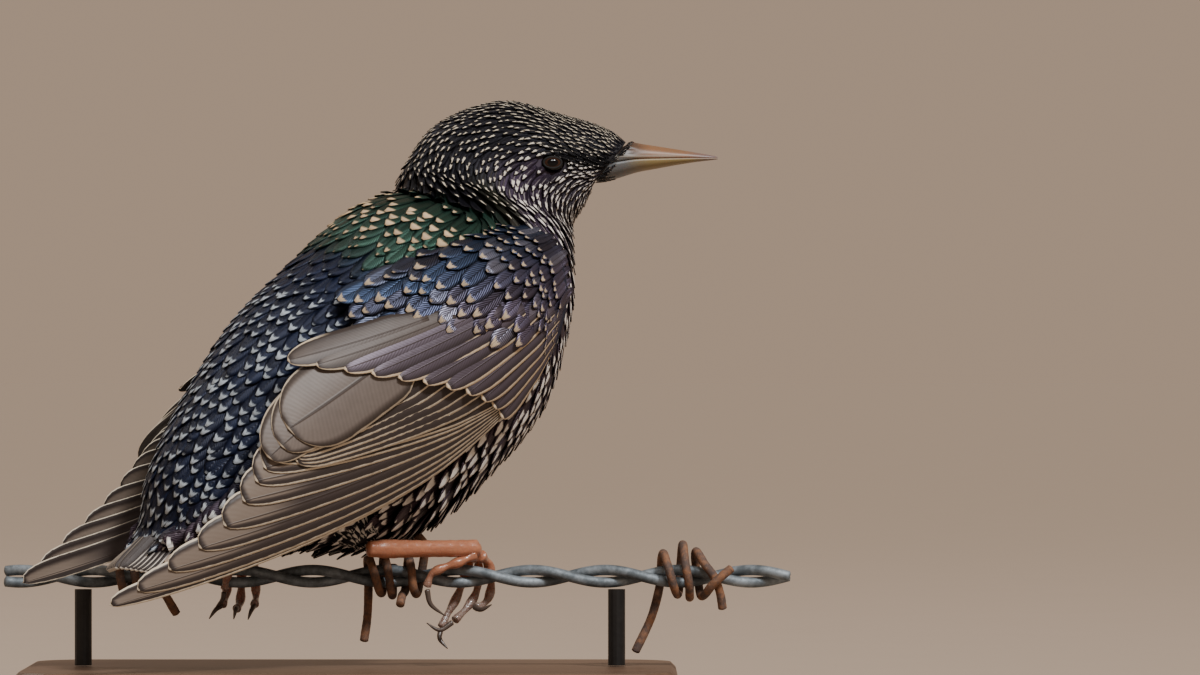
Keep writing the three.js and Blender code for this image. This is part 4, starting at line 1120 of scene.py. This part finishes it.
# Each barb: its first points, its turns round the wire, and its last points
BARBS = [
    ([(-54, -3.2, 39), (-53.6, -4.2, 33.5)],
     [(-53, 195, 4.3), (-52.2, 265), (-51.6, 335), (-51, 45), (-50.4, 115), (-49.6, 185), (-49, 255)],
     [(-48.6, 3.2, 25.6), (-48.2, 6, 28.6)]),
    ([(-47.4, 4.4, 35), (-47, 0.5, 33.9)],
     [(-46.4, 150, 4.3), (-45.8, 215), (-45.4, 285), (-45, 355), (-44.4, 65), (-43.9, 135)],
     [(-43.2, -4.4, 26.2), (-41.8, -3.6, 23.2), (-40.2, -2.6, 20.4)]),
    ([(3.2, 2.8, 13.9), (4, 3.6, 20)],
     [(4.2, 350, 4.3), (4, 50), (4.5, 105, 4.3), (5.7, 165), (6.9, 230), (7.5, 300), (7.5, 10),
      (7.8, 80, 4.3), (8.8, 150), (9.6, 225)],
     [(9.9, 1, 24.6), (9.9, 4.8, 27.6), (9.9, 5.2, 31.5)]),
    ([(15.6, 1.2, 38.6), (17.4, 2, 36)],
     [(17, 40, 5), (16.2, 345), (15.5, 280), (14.8, 215), (14.3, 150), (13.6, 85), (13.2, 15), (12.8, 310)],
     [(12.2, -2, 24.6), (11.8, -4.6, 22.6)]),
    ([(66.4, 3.4, 11.4), (70.2, 4, 19.6)],
     [(72.2, 340, 4.5), (72.4, 40, 4.6), (72.9, 85, 5.3), (74, 150, 4.4), (75.2, 210), (76.2, 270, 4.3),
      (76.6, 335, 4.3), (76.9, 35, 4.9), (77.4, 85, 7.4), (78, 145, 5), (78.7, 195, 4.3), (79, 250, 4.4)],
     [(79, 2, 24.2), (79, 4.8, 27.6)]),
    ([(88.6, -5.8, 31), (84.6, -5.9, 27.6)],
     [(82.4, 235, 5.2), (81.5, 290, 4.5), (81, 345, 4.3), (80.4, 40, 4.4), (80.5, 90, 5.8), (82.4, 140, 4.6),
      (84.6, 180, 4.1)],
     [(86, -3.4, 25.2), (86.6, -2.4, 21.6)]),
]


def make_wire():
    x = steps(WIRE_START, WIRE_END, 300)
    for k in (1, 2):
        a = tau * x / TWIST_PITCH + pi * (k - 1)
        line = pile(x, STRAND_OFFSET * np.cos(a), WIRE_HEIGHT + STRAND_OFFSET * np.sin(a))
        add_tubes(f"strand_{k}", [(line, STRAND_RADIUS, 20)], ZINC, "galvanised_wire", f"wire_strand_{k}")
    for k, (start, turns, finish) in enumerate(BARBS, 1):
        line = smooth_path(start + [round_wire(*turn) for turn in turns] + finish, 150)
        radius = BARB_RADIUS * (1 + 0.03 * np.sin(steps(0, 47, 150)) + rng.normal(0, 0.012, 150))
        add_tubes(f"barb_{k}", [(line, radius, 18)], RUST, "rusted_wire", f"wire_barb_{k}")


def make_stand():
    for part, material in (("base", WOOD), ("rod_left", ROD), ("rod_right", ROD)):
        slots = bpy.data.objects[f"stand_{part}"].data.materials
        slots.clear()
        slots.append(material)


def make_setting():
    r = 14.0
    me = bpy.data.meshes.new("floor")
    me.from_pydata([(-r, -r, 0), (r, -r, 0), (r, r, 0), (-r, r, 0)], [], [(0, 1, 2, 3)])
    me.materials.append(FLOOR)
    floor = put_in_scene("floor", me)
    world = bpy.data.worlds.new("room")
    world.use_nodes = True
    ground = world.node_tree.nodes["Background"]
    ground.inputs["Color"].default_value = (0.4, 0.29, 0.212, 1.0)
    ground.inputs["Strength"].default_value = 1.0
    bpy.context.scene.world = world
    sun = bpy.data.lights.new("sun", "SUN")
    sun.energy = 3.0
    sun.angle = radians(9)
    put_in_scene("sun", sun, turn=(radians(44), 0, radians(36)))
    lamps = ("key", (0.15, -0.9, 1.1), 0.35, 7.0), ("rim", (-0.7, 0.5, 0.9), 0.5, 2.5)
    for name, place, size, power in lamps:
        light = bpy.data.lights.new(name, "AREA")
        light.energy = power
        light.size = size
        x, y, z = np.array([0.0, 0.0, 0.08]) - place
        put_in_scene(name, light, place, (atan2(hypot(x, y), -z), 0, atan2(-x, y)))
    camera = bpy.data.cameras.new("camera")
    camera.sensor_width = 36
    camera.lens = camera.sensor_width * CAMERA_AWAY / FRAME_WIDTH
    camera.clip_end = 40
    place = (0.05814, -CAMERA_AWAY, 0.0845)
    bpy.context.scene.camera = put_in_scene("camera", camera, place, (pi / 2, 0, 0))


make_skin()
make_body_coat()
make_thigh_coat("right")
make_thigh_coat("left")
make_wing(1, "right")
make_wing(-1, "left")
make_tail()
make_bill()
make_bristles()
make_eyes()
make_legs()
make_wire()
make_stand()
make_setting()
